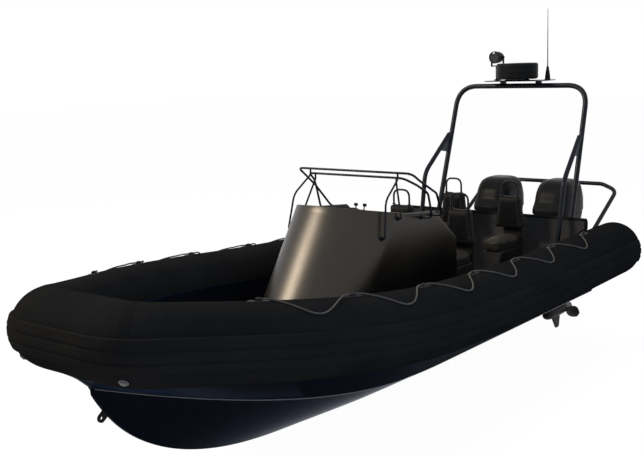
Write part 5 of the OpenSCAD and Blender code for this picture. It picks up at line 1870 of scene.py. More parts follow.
@dataclass
class Rails:
    """Two rails that loop over the console's top, and the struts that carry them."""

    radius: float = 0.011
    bend: float = 0.090
    seat_y: float = 0.5403
    front_x: float = -0.080
    top_z: float = 1.745
    half: float = 0.670
    foot_x: float = -0.600
    foot_z: float = 1.287
    low_drop: float = 0.050
    low_x: float = -0.110
    low_half: float = 0.556
    low_foot_x: float = -0.420
    strut_r: float = 0.00935
    strut_turn: float = math.radians(77)
    strut_foot_z: float = 1.178
    strut_seat: tuple[float, float] = (-0.030, 1.330)

    def build(self, console: Console) -> None:
        """Make the rails and the struts on a console."""
        self.rails()
        self.struts(console)

    def rails(self) -> None:
        """Rails: pipes that leave the console's sides, flare out, rise and cross ahead of the helm."""
        low_z = self.top_z - self.low_drop
        upper = [(self.foot_x, self.seat_y, self.foot_z), (self.foot_x, self.half, self.foot_z),
                 (self.front_x - 0.330, self.half + 0.055, self.top_z - 0.215),
                 (self.front_x - 0.115, self.half + 0.012, self.top_z - 0.078),
                 (self.front_x, self.half, self.top_z)]
        lower = [(self.low_foot_x, self.seat_y, self.foot_z), (self.low_foot_x, self.half, self.foot_z),
                 (self.low_x - 0.240, self.half, low_z - 0.160),
                 (self.low_x - 0.140, 0.5 * (self.half + self.low_half), low_z - 0.078),
                 (self.low_x, self.low_half, low_z)]
        routes = [rounded_route(loop_route(half), self.bend) for half in (upper, lower)]
        pipes = [tube(route, self.radius, sides=20) for route in routes]
        feet = [foot_plate(half[0], Y_AXIS, 0.026).paired() for half in (upper, lower)]
        put("console_rail_pipes", join([*pipes, *feet]), FINISH.pipe, "console_rails")

    def struts(self, console: Console) -> None:
        """Struts: a pair square to the raked front and a pair from the sides, each bent up to its rail.

        Args:
            console: Console that the struts stand on.
        """
        c, s = math.cos(self.strut_turn), math.sin(self.strut_turn)
        normal = unit(np.array([c, s, console.rake * c]))
        z = self.strut_foot_z
        foot = np.array([console.front(z) - console.half * (1 - c), console.half * s, z])
        head = foot[1] - 0.010
        under = self.radius + 0.0001
        front = [foot + FIT * normal, foot + 0.045 * normal,
                 [foot[0] - 0.060, foot[1] + 0.014, z + 0.6 * (self.top_z - z)],
                 [self.front_x, head, self.top_z - 0.060], [self.front_x, head, self.top_z - under]]
        x, seat_z = self.strut_seat
        low_z = self.top_z - self.low_drop
        inner = self.low_half - 0.85 * self.bend
        rear = [[x, self.seat_y, seat_z], [x, self.seat_y + 0.040, seat_z],
                [self.low_x, inner, low_z - 0.050], [self.low_x, inner, low_z - under]]
        port = join([tube(rounded_route(front, 0.160), self.strut_r, sides=18, reference=Y_AXIS),
                     tube(rounded_route(rear, 0.040), self.strut_r, sides=18, reference=X_AXIS),
                     foot_plate(foot, normal, 0.024), foot_plate(rear[0], Y_AXIS, 0.024)])
        put("console_strut_pipes", port.paired(), FINISH.pipe, "console_rail_struts")


# Seats


@dataclass
class Seats:
    """Four straddle seats: pods, padded saddles and backrests with piping, and hand hoops."""

    stations: tuple[float, ...] = (-1.420, -2.513)
    offset: float = 0.364
    pod_w: float = 0.240
    pod: tuple[tuple[float, float], ...] = (
        (-0.110, SOLE_Z), (0.530, SOLE_Z), (0.440, 0.540), (0.390, 0.650), (-0.070, 0.650), (-0.070, 1.040),
        (-0.110, 1.040))
    pod_rounds: tuple[float, ...] = (0.02, 0.05, 0.06, 0.03, 0.02, 0.018, 0.018)
    saddle_x: tuple[float, float] = (-0.060, 0.420)
    saddle_w: float = 0.270
    saddle_taper: float = 0.20
    saddle_z: tuple[float, float] = (0.6503, 0.800)
    back_x: float = -0.0697
    back_t: float = 0.105
    back: tuple[tuple[float, float], ...] = ((-0.185, 0.840), (0.185, 0.840), (0.135, 1.222), (-0.135, 1.222))
    back_round: float = 0.045
    hoop_h: float = 0.165
    hoop_w: float = 0.200
    hoop_r: float = 0.011
    piping_r: float = 0.0042
    cell: float = 0.006
    swell: float = 0.010
    slack: float = 0.006

    def build(self) -> None:
        """Make the pods, saddles, backrests and hoops."""
        outline = rounded_outline(self.pod, self.pod_rounds)
        pod = on_edge(slab(outline, self.pod_w, 0.022, 7))
        put("seat_pod_mouldings", self.each(pod), FINISH.pod, "seat_pods")
        self.saddles()
        self.backs()
        self.hoops()

    def each(self, skin: Skin) -> Skin:
        """Copies of a piece at every seat."""
        return join([skin.moved((x, e * self.offset, 0.0)) for x in self.stations for e in SIGNS])

    def pad(self, name: str, skin: Skin, finish: Finish, fill: float, replaces: str = "") -> None:
        """Put a padded piece at every seat."""
        piece = put(name, self.each(skin), finish, replaces)

    def saddles(self) -> None:
        """Saddles: crowned pads, narrower ahead, dished where the rider sits, with piping on their seam."""
        (aft, fore), (low, high) = self.saddle_x, self.saddle_z
        crown = 0.022
        count = 120
        span = (fore - aft) / 2

        def taper(points: Array) -> Array:
            """Draw the sides in towards the front."""
            share = smooth_step((points[:, 0] + span) / (2 * span))
            return np.stack([points[:, 0], points[:, 1] * (1 - self.saddle_taper * share)], -1)

        saddle = cushion(span - self.slack, self.saddle_w / 2 - self.slack, high - low - crown - self.slack,
                         edge=0.042, crown=crown, power=0.40, bulge=0.004, groove=0.002, count=count,
                         outline=taper)
        dish = 0.012 * np.exp(-((saddle.points[:, 0] + 0.05) / 0.10) ** 2)
        above = smooth_step((saddle.points[:, 2] - 0.5 * (high - low)) / (0.5 * (high - low)))
        saddle.points[:, 2] -= dish * above
        seam = 12
        line = saddle.points[seam * count:(seam + 1) * count]
        saddle = swollen(saddle, self.cell, self.swell)
        saddle.points[:, 2] = np.maximum(saddle.points[:, 2], 0.0)
        place = ((aft + fore) / 2, 0.0, low)
        line = settle(line, saddle.points) + place
        self.pad("seat_saddle_pads", saddle.moved(place), FINISH.vinyl, 0.8, "seat_saddles")
        piping = tube(line, self.piping_r, sides=10, closed=True)
        put("seat_saddle_piping", self.each(piping), FINISH.vinyl_dark)

    def backs(self) -> None:
        """Backrests: tapered pads with a crowned front, a dark sewn panel and piping along both shoulders."""
        outline = even_loop(rounded_outline(self.back, self.back_round, 8), 144)
        outline = outline - self.slack * outline_normals(outline)
        edge, crown = 0.026, 0.010
        thick = self.back_t - crown - self.slack
        middle = self.back_x + thick / 2 + 0.001

        def upright(skin: Skin) -> Skin:
            """Stand a pad up with its front towards the bow."""
            return skin.mapped(lambda p: np.stack([middle + p[:, 2], p[:, 0], p[:, 1]], -1))

        back = swollen(upright(pillow(outline, thick, edge, crown, 0.003)), self.cell, self.swell)
        back.points[:, 0] = np.maximum(back.points[:, 0], self.back_x)
        self.pad("seat_back_pads", back, FINISH.vinyl_back, 0.85, "seat_backs")
        scale = 0.80 * np.array([0.99, 1.0, 1.0, 0.985, 0.95, 0.85, 0.7, 0.5, 0.3, 0.12, 0.02])
        over = np.array([-0.006, -0.003, 0.003, 0.0055, 0.0062, 0.0065, 0.0068, 0.007, 0.007, 0.007, 0.007])
        over = over - 0.002
        panel = upright(shaped(outline, np.full(len(scale), edge), over, scale))
        front = back.points[back.points[:, 0] > middle]
        panel.points[:, 0] += settle(panel.points, front, (1, 2))[:, 0] - middle
        self.pad("seat_back_panels", panel, FINISH.vinyl_dark, 0.85)
        lines = []
        for face in (1.0, -1.0):
            ring = outline - edge * 0.3 * outline_normals(outline)
            level = np.full(len(ring), middle + face * (thick / 2 - 0.3 * edge))
            path = settle(np.column_stack([level, ring]), back.points)
            lines.append(tube(path, self.piping_r, sides=10, closed=True, reference=X_AXIS))
        put("seat_back_piping", self.each(join(lines)), FINISH.vinyl_dark)

    def hoops(self) -> None:
        """Hand hoops: pipes bent over the backrests, each foot in a small collar."""
        x = self.back_x + self.back_t / 2
        low = self.back[2][1] + FIT
        top = low + self.hoop_h - self.hoop_r
        side = self.hoop_w / 2
        route = rounded_route(loop_route([(x, side, low - 0.012), (x, side, top)]), side, 18)
        pipe = tube(route, self.hoop_r, sides=20, reference=X_AXIS)
        feet = [foot_plate((x, e * side, low - 0.006), Z_AXIS, 0.022, 2) for e in SIGNS]
        put("seat_hoop_pipes", self.each(join([pipe, *feet])), FINISH.pipe, "seat_hoops")


# Arch


@dataclass
class Arch:
    """Raked radar arch with braces, gussets, a platform, the radar dome and a whip antenna."""

    radius: float = 0.030
    foot_x: float = -2.850
    foot_half: float = 0.8902
    top_x: float = -3.500
    top_half: float = 0.850
    top_z: float = 2.404
    bend: float = 0.260
    sole_z: float = SOLE_Z
    stub: float = 0.040
    gap: float = FIT
    brace_r: float = 0.027
    brace_top: float = 1.830
    brace_knee: tuple[float, float] = (-2.770, 1.396)
    brace_foot_x: float = -2.560
    brace_bend: float = 0.300
    gusset_h: float = 0.220
    gusset_t: float = 0.014
    platform: tuple[float, float, float] = (0.360, 0.784, 0.010)
    platform_x: float = -3.470
    saddle_y: float = 0.235
    lift: float = 0.028
    dome_x: float = -3.410
    dome_r: float = 0.245
    dome_h: float = 0.190
    dome_lift: float = 0.016
    whip_at: tuple[float, float] = (-3.540, 0.330)
    whip_h: float = 0.825

    @property
    def deck(self) -> float:
        """Height of the platform's top."""
        return self.top_z + self.radius + self.gap + self.lift + self.platform[2]

    def leg(self, z: float) -> Array:
        """Point of the port leg's centre line at a height.

        Args:
            z: Height.

        Returns:
            The point.
        """
        share = (z - self.sole_z - self.stub) / (self.top_z - self.sole_z - self.stub)
        foot, head = np.array([self.foot_x, self.foot_half, z]), np.array([self.top_x, self.top_half, z])
        return foot + share * (head - foot)

    def build(self) -> None:
        """Make the arch and what it carries."""
        self.hoop()
        self.braces()
        self.top_gear()

    def hoop(self) -> None:
        """Arch: one pipe from foot to foot, on round flanges."""
        foot = np.array([self.foot_x, self.foot_half, self.sole_z + self.gap])
        half = [foot, [self.foot_x, self.foot_half, self.sole_z + self.stub],
                [self.top_x, self.top_half, self.top_z]]
        route = rounded_route(loop_route(half), self.bend, 18)
        pipe = tube(route, self.radius, sides=32, reference=X_AXIS)
        plates = foot_plate(foot, Z_AXIS, 0.062, 6).paired()
        put("arch_pipe", join([pipe, plates]), FINISH.pipe, "arch_hoop")

    def braces(self) -> None:
        """Braces: bent pipes that meet the legs from ahead, with a plate in each fork whose lighter colour is
        painted light.
        """
        arch_lean = math.atan2(self.foot_x - self.top_x, self.top_z - self.sole_z - self.stub)
        here = self.leg(self.brace_top)
        brace_lean = math.atan2(self.brace_knee[0] - here[0], self.brace_top - self.brace_knee[1])
        clear = self.radius + self.gap + self.brace_r * math.cos(brace_lean - arch_lean)
        top = here + np.array([clear / math.cos(arch_lean), 0.0, 0.0])
        knee = np.array([self.brace_knee[0], self.foot_half + 0.020, self.brace_knee[1]])
        foot = np.array([self.brace_foot_x, self.foot_half, self.sole_z + self.gap])
        ankle = foot + [0.0, 0.0, self.stub]
        pipe = tube(rounded_route([foot, ankle, knee, top], self.brace_bend, 16), self.brace_r, sides=28)
        plate = foot_plate(foot, Z_AXIS, 0.056, 6)
        port = join([pipe, plate])
        put("arch_brace_pipes", port.paired(), FINISH.pipe, "arch_braces")
        low, high = self.brace_top - self.gusset_h, self.brace_top - self.radius

        def ahead(z: float) -> float:
            """Station of the leg's forward edge."""
            return self.leg(z)[0] + (self.radius - 0.004) / math.cos(arch_lean)

        def brace(z: float) -> float:
            """Station of the brace's middle."""
            return top[0] + (knee[0] - top[0]) * (self.brace_top - z) / (self.brace_top - knee[2])

        tip = low + self.radius
        corners = [(ahead(high), high), (ahead(low), low), (brace(tip), tip), (brace(high), high)]
        plate = on_edge(slab(rounded_outline(corners, 0.006, 3), self.gusset_t, 0.003), self.leg(low)[1])
        # The plates' lighter blue-black is painted light
        put("arch_gussets", plate.paired(), FINISH.gusset)

    def top_gear(self) -> None:
        """Platform on its saddles, pedestal, drum-shaped dome with a seam, and whip antenna on its base."""
        length, breadth, thick = self.platform
        plate = slab(rounded_outline(rectangle(length, breadth), 0.04), thick, 0.003)
        plate = plate.moved((self.platform_x, 0.0, self.deck - thick / 2))
        saddle = rounded_block((2 * self.radius, 2 * self.radius, self.lift + 0.008), 0.006)
        saddle = saddle.moved((self.top_x, self.saddle_y, self.deck - thick - self.lift / 2 - 0.002))
        pedestal = [(0.152, 0.0), (0.150, 0.004), (0.126, self.dome_lift)]
        foot = turned(pedestal, (self.dome_x, 0.0, self.deck), Z_AXIS, 64)
        put("arch_platform_plate", join([plate, saddle.paired(), foot]), FINISH.pipe, "arch_platform")
        r, h, edge = self.dome_r, self.dome_h, 0.026
        turn = quarter_turn(9)
        low = [(r - edge + edge * math.sin(a), edge - edge * math.cos(a)) for a in turn]
        seam = [(r, 0.36 * h), (r - 0.003, 0.37 * h), (r - 0.003, 0.39 * h), (r, 0.40 * h)]
        high = [(r - edge + edge * math.cos(a), h - edge + edge * math.sin(a) - 0.002) for a in turn]
        dome = [(0.6 * r, 0.0), *low, *seam, *high, (0.6 * r, h - 0.0008), (0.2 * r, h), (0.02 * r, h)]
        drum = turned(dome, (self.dome_x, 0.0, self.deck + self.dome_lift), Z_AXIS, 96)
        put("radar_dome_drum", drum, FINISH.plastic, "radar_dome")
        whip = [(0.035, 0.0), (0.035, 0.012), (0.033, 0.014), (0.031, 0.015), (0.029, 0.050), (0.020, 0.110),
                (0.013, 0.152), (0.010, 0.156), (0.0065, 0.160), (0.006, 0.20), (0.0030, self.whip_h - 0.004),
                (0.0012, self.whip_h)]
        rod = turned(whip, (*self.whip_at, self.deck), Z_AXIS, 28)
        put("whip_antenna_rod", rod, FINISH.plastic, "whip_antenna")


@dataclass
class Searchlight:
    """Searchlight: a post, a yoke that pans and a head that tilts."""

    at: tuple[float, float, float] = (-3.560, -0.345, 2.7503)
    deck: float = 2.4723
    post_h: float = 0.166
    radius: float = 0.070
    length: float = 0.205
    yoke_gap: float = 0.006
    arm: float = 0.008
    arm_over: float = 0.016
    fork_width: float = 0.036
    fork_edge: float = 0.003
    bar_t: float = 0.014
    nose_share: float = 0.42
    barrel_share: float = 0.3
    back_share: float = 0.7

    # Rim: step out from the head's radius, and distance behind its nose
    RIM = ((0.0, 0.020), (0.003, 0.018), (0.003, 0.003), (0.0, 0.0), (-0.008, 0.0), (-0.010, 0.012))
    # Turned profile of a pin: radius and place along the axis
    PIN = ((0.012, 0.0), (0.012, 0.007), (0.009, 0.009))

    def build(self) -> None:
        """Make the post, the yoke and the head with its lens."""
        x, y, z = self.at
        post = [(0.042, 0.0), (0.042, 0.010), (0.038, 0.012), (0.026, 0.014), (0.023, 0.020),
                (0.023, self.post_h - 0.004), (0.021, self.post_h)]
        pedestal = turned(post, (x, y, self.deck), Z_AXIS)
        put("searchlight_pedestal", pedestal, FINISH.plastic, "searchlight_post")
        base = self.deck + self.post_h + FIT
        arm_y = self.radius + self.yoke_gap + self.arm / 2
        rise = z + self.arm_over - base
        bar = rounded_block((self.fork_width, 2 * arm_y + self.arm, self.bar_t), self.fork_edge)
        bar = bar.moved((x, y, base + self.bar_t / 2))
        arm = rounded_block((self.fork_width, self.arm, rise), self.fork_edge)
        arms = [arm.moved((x, y + e * arm_y, base + rise / 2)) for e in SIGNS]
        put("searchlight_fork", join([bar, *arms]), FINISH.plastic, "searchlight_yoke", Body.LIGHT_YOKE)
        nose = self.nose_share * self.length
        knee = nose - self.barrel_share * self.length
        turn = np.linspace(0.05, np.pi / 2, 14)
        bulge = self.back_share * self.length
        back = [(self.radius * math.sin(a), knee - bulge * math.cos(a)) for a in turn]
        rim = [(self.radius + out, nose - behind) for out, behind in self.RIM]
        side = arm_y + self.arm / 2
        pins = [turned(self.PIN, (x, y + e * side, z), (0, e, 0), 20) for e in SIGNS]
        shell = join([turned([*back, *rim], self.at, X_AXIS, 56), *pins])
        put("searchlight_shell", shell, FINISH.plastic, "searchlight_head", Body.LIGHT_HEAD)
        lens = [(self.radius - 0.009, nose - 0.011), (self.radius - 0.010, nose - 0.007),
                (0.6 * self.radius, nose - 0.003), (0.25 * self.radius, nose - 0.002),
                (0.02 * self.radius, nose - 0.002)]
        put("searchlight_lens", turned(lens, self.at, X_AXIS, 48), FINISH.glass, body=Body.LIGHT_HEAD)


# Outboards


@dataclass
class Outboard:
    """Outboard motor on its clamp and swivel brackets, with its cowl, leg and propeller."""

    side: Side
    offset: float = 0.402
    pivot: tuple[float, float] = (-3.440, 0.520)
    shaft_x: float = -3.522
    cowl_z: float = 0.700
    cowl_h: float = 0.572
    cowl_half: float = 0.226
    squareness: float = 0.50
    trim_span: tuple[float, float] = (0.41, 0.93)
    trim_turn: tuple[float, float] = (30.0, 64.0)
    trim_r: float = 0.0034
    fore: float = 0.190
    aft: float = -0.530
    plate_z: float = -0.165
    prop_z: float = -0.365
    prop_r: float = 0.188
    hub_r: float = 0.058
    hub_len: float = 0.150
    gear_r: float = 0.064
    gear_aft: float = -0.330
    gear_fore: float = 0.190
    blades: int = 3
    chord: float = 0.150
    pitch: float = 0.480
    blade_t: float = 0.0054
    blade_thinning: float = 0.003
    blade_rake: float = 0.020
    cheek_y: float = 0.105
    cheek_t: float = 0.030
    cap_y: float = 0.120
    leg_squareness: float = 0.65
    foot_squareness: float = 0.72
    plate_t: float = 0.014
    plate_edge: float = 0.005
    plate_corner: float = 0.035
    nose_len: float = 0.150
    skeg_drop: float = 0.215
    skeg_t: float = 0.014
    skeg_edge: float = 0.006
    mount_edge: float = 0.008
    clamp_low_z: float = 0.190
    clamp_high_z: float = 0.500
    cheek_high_z: float = 0.558
    cheek_back: float = 0.038
    cheek_foot: float = 0.070
    cheek_edge: float = 0.006
    barrel_r: float = 0.028
    barrel_half: float = 0.0895

    # Rows of the cowl: share of height, set-back of the front, set-in of the rear, share of half width
    APRON = np.array([
        [-0.004, 0.044, 0.044, 0.82], [0.004, 0.032, 0.032, 0.852], [0.02, 0.029, 0.029, 0.862],
        [0.15, 0.022, 0.020, 0.915], [0.285, 0.015, 0.011, 0.962], [0.296, 0.020, 0.016, 0.945]])
    GASKET = np.array([[0.28, 0.026, 0.022, 0.925], [0.335, 0.020, 0.016, 0.940]])
    HOOD = np.array([[0.306, 0.018, 0.014, 0.95], [0.310, 0.006, 0.004, 0.985], [0.318, 0.001, 0.001, 0.998],
                     [0.33, 0.0, 0.0, 1.0], [0.395, 0.0, 0.0, 1.0], [0.41, 0.005, 0.001, 0.999],
                     [0.555, 0.066, 0.006, 0.986], [0.575, 0.071, 0.008, 0.984], [0.75, 0.106, 0.030, 0.93],
                     [0.88, 0.163, 0.074, 0.865], [0.955, 0.222, 0.130, 0.72], [0.99, 0.278, 0.190, 0.52],
                     [1.0, 0.325, 0.255, 0.33], [1.003, 0.372, 0.318, 0.06]])
    # Rows of the leg: height, front and rear from the steering shaft, half width
    LEG = np.array([
        [-0.158, -0.070, -0.270, 0.030], [-0.120, -0.066, -0.285, 0.062], [0.0, -0.062, -0.280, 0.070],
        [0.330, -0.062, -0.300, 0.086], [0.560, -0.064, -0.350, 0.104], [0.614, -0.064, -0.400, 0.128],
        [0.660, 0.070, -0.450, 0.158], [0.700, 0.150, -0.490, 0.1854]])
    # Corners of the plate above the propeller, from the steering shaft
    PLATE = ((0.040, -0.040), (0.040, 0.040), (-0.120, 0.118), (-0.420, 0.118), (-0.420, -0.118),
             (-0.120, -0.118))
    # Mounts on the leg: size, and place from the steering shaft
    MOUNTS = (((0.140, 0.096, 0.040), (-0.050, 0.0, 0.635)), ((0.130, 0.080, 0.040), (-0.055, 0.0, 0.100)))
    # Turned profiles: radius and place along the axis
    CAP = ((0.026, 0.0), (0.026, 0.006), (0.018, 0.010))
    BOLT = ((0.012, 0.0), (0.012, 0.007), (0.008, 0.010))
    COLUMN = ((0.040, 0.125), (0.044, 0.130), (0.044, 0.180), (0.040, 0.186), (0.040, 0.440),
              (0.044, 0.446), (0.044, 0.604), (0.040, 0.610))
    HUB = ((0.050, 0.0), (0.058, 0.003), (0.0575, 0.05), (0.053, 0.140), (0.052, 0.150), (0.030, 0.151),
           (0.029, 0.160), (0.018, 0.186), (0.004, 0.1865))

    def put(self, name: str, skin: Skin, finish: Finish, part: str, replaces: str = "") -> None:
        """Put a piece of this motor, made on the centre line, at its side.

        Args:
            name: Name of the piece without its side.
            skin: Surface on the centre line.
            finish: Its finish.
            part: Which of the motor's bodies it rides on, or the boat.
            replaces: Name of the node that it stands for, without its side.
        """
        body = Body.BOAT if part == "boat" else Body[f"{part}_{self.side.name}".upper()]
        node = f"{replaces}_{self.side.word}" if replaces else ""
        skin = skin.moved((0.0, self.side.value * self.offset, 0.0))
        put(f"{name}_{self.side.word}", skin, finish, node, body)

    def cowl_rows(self, rows: Array, shares: Array) -> Array:
        """Heights, fronts, rears and half widths of the cowl at shares of its height.

        Args:
            rows: Table of insets and width shares.
            shares: Shares of the cowl's height.

        Returns:
            One row of four measures per share.
        """
        front, rear, half = smooth_table(rows, shares).T
        return np.stack([self.cowl_z + shares * self.cowl_h, self.shaft_x + self.fore - front,
                         self.shaft_x + self.aft + rear, half * self.cowl_half], -1)

    def build(self) -> None:
        """Make every piece of the motor."""
        self.cowl()
        self.leg()
        self.brackets()
        self.propeller()

    def cowl(self) -> None:
        """Cowl: an apron, a dark gasket and a hood with a chamfered chin, with trim lines up to its roof."""
        power = self.squareness
        skins = []
        for rows, count in ((self.APRON, 24), (self.GASKET, 4), (self.HOOD, 90)):
            skins.append(loft(oval(self.cowl_rows(rows, with_rows(rows, count)), power, 128)))
        self.put("cowl_hood", skins[2], FINISH.motor, "motor", "cowl")
        self.put("cowl_apron", skins[0], FINISH.motor_dark, "motor")
        self.put("cowl_gasket", skins[1], FINISH.motor_trim, "motor")
        shares = np.linspace(*self.trim_span, 60)
        rows = self.cowl_rows(self.HOOD, shares)
        turn = np.radians(np.linspace(*self.trim_turn, 60))
        wave = np.stack([np.cos(turn), np.sin(turn)], -1) ** power
        mid, reach = (rows[:, 1] + rows[:, 2]) / 2, (rows[:, 1] - rows[:, 2]) / 2
        line = np.stack([mid + reach * wave[:, 0], rows[:, 3] * wave[:, 1], rows[:, 0]], -1)
        trim = tube(line, self.trim_r, sides=10)
        self.put("cowl_trim", trim.paired(), FINISH.motor_trim, "motor")

    def leg(self) -> None:
        """Leg: a housing that flares up to the cowl, the anti-ventilation plate, the torpedo and the skeg."""
        x = self.shaft_x
        heights = with_rows(self.LEG, 60)
        rows = np.concatenate([heights[:, None], smooth_table(self.LEG, heights)], 1) + [0.0, x, x, 0.0]
        upper = loft(oval(rows, self.leg_squareness, 88))
        plate = slab(rounded_outline(self.PLATE, self.plate_corner), self.plate_t, self.plate_edge)
        plate = plate.moved((x, 0.0, self.plate_z + self.plate_t / 2))
        low = np.array([[self.prop_z, -0.010, -0.250, 0.026], [-0.26, -0.030, -0.262, 0.026],
                        [self.plate_z, -0.040, -0.270, 0.032]])
        strut = loft(oval(low + [0.0, x, x, 0.0], self.foot_squareness, 64))
        turn = quarter_turn(14)
        nose = [(self.gear_r * math.cos(a), self.gear_fore - self.nose_len * (1 - math.sin(a)))
                for a in turn[:-1]]
        torpedo = [(0.052, self.gear_aft), (0.058, self.gear_aft + 0.004), (0.061, self.gear_aft + 0.03),
                   (self.gear_r, self.gear_aft + 0.12), *nose, (0.003, self.gear_fore)]
        skeg_z = self.prop_z - self.skeg_drop
        fin = [(0.030, self.prop_z), (-0.250, self.prop_z), (-0.210, skeg_z), (-0.120, skeg_z)]
        skeg = slab(rounded_outline(fin, [0.01, 0.01, 0.03, 0.05]), self.skeg_t, self.skeg_edge)
        skeg = on_edge(skeg).moved((x, 0.0, 0.0))
        pieces = [upper, plate, strut, turned(torpedo, (x, 0.0, self.prop_z), X_AXIS, 48), skeg]
        for size, (back, across, height) in self.MOUNTS:
            pieces.append(rounded_block(size, self.mount_edge).moved((x + back, across, height)))
        self.put("leg_casting", join(pieces), FINISH.motor_dark, "motor", "leg")

    def brackets(self) -> None:
        """Clamp bracket of two cheeks on a plate, and the swivel bracket with its pin and steering tube."""
        px, pz = self.pivot
        stern = PATH.stern_x - FIT
        corners = [(stern, self.clamp_low_z), (stern, self.clamp_high_z), (px, self.cheek_high_z),
                   (px - self.cheek_back, pz), (PATH.stern_x - self.cheek_foot, self.clamp_low_z)]
        rounds = [0.004, 0.02, 0.03, 0.03, 0.03]
        cheek = slab(rounded_outline(corners, rounds), self.cheek_t, self.cheek_edge)
        cheeks = [on_edge(cheek, e * self.cheek_y) for e in SIGNS]
        plate = rounded_block((0.016, 0.240, 0.310), 0.004).moved((stern - 0.008, 0.0, 0.345))
        caps = [turned(self.CAP, (px, e * self.cap_y, pz), (0, e, 0), 28) for e in SIGNS]
        spots = [(stern - 0.016, y, z) for y in (-0.05, 0.05) for z in (0.24, 0.42)]
        bolts = [turned(self.BOLT, spot, (-1, 0, 0), 14) for spot in spots]
        self.put("clamp_cheeks", join([*cheeks, plate, *caps, *bolts]), FINISH.motor_dark, "boat", "clamp")
        ends = [(self.barrel_r, -self.barrel_half), (self.barrel_r, self.barrel_half)]
        barrel = turned(ends, (px, 0.0, pz), Y_AXIS)
        arm = rounded_block((0.082, 0.110, 0.076), 0.012).moved((self.shaft_x + 0.041, 0.0, pz - 0.012))
        column = turned(self.COLUMN, (self.shaft_x, 0.0, 0.0), Z_AXIS)
        self.put("swivel_column", join([barrel, arm, column]), FINISH.motor_dark, "swivel", "swivel")

    def propeller(self) -> None:
        """Propeller: a flared hub with a cone nut, and blades that are thin lenses turned to their pitch."""
        x = self.shaft_x + self.gear_aft - 0.004
        root = 0.6 * self.hub_r
        radii = np.linspace(root, self.prop_r, 26)[:, None]
        f = (radii - root) / (self.prop_r - root)
        chord = self.chord * np.sin(np.radians(35 + 130 * f)) ** 0.8
        pitch = np.arctan2(self.pitch, 2 * np.pi * radii)
        turn = full_turn(36)[None]
        u = chord / 2 * np.cos(turn)
        v = (self.blade_t - self.blade_thinning * f) * np.sin(turn)
        back = -self.hub_len / 2 - self.blade_rake * f
        blade = np.stack([back + u * np.sin(pitch) - v * np.cos(pitch), u * np.cos(pitch) + v * np.sin(pitch),
                          np.broadcast_to(radii, u.shape)], -1)
        skin = loft(blade)
        pieces = []
        for k in range(self.blades):
            a = 2 * np.pi * k / self.blades
            spin = np.array([[1, 0, 0], [0, math.cos(a), math.sin(a)], [0, -math.sin(a), math.cos(a)]])
            pieces.append(skin.mapped(lambda p, spin=spin: p @ spin))
        pieces.append(turned(self.HUB, (0.0, 0.0, 0.0), (-1, 0, 0), 48))
        screw = join(pieces)
        screw = screw.mirrored() if self.side is Side.STARBOARD else screw
        screw = screw.moved((x, 0.0, self.prop_z))
        self.put("propeller_screw", screw, FINISH.propeller, "prop", "propeller")


# Studio


@dataclass(frozen=True)
class Lamp:
    """Area lamp: its place, the point it looks at, its size, watts and colour, and whether gloss shows it."""

    name: str
    place: Numbers
    aim: Numbers
    size: tuple[float, float]
    power: float
    colour: Colour
    shines: bool = False


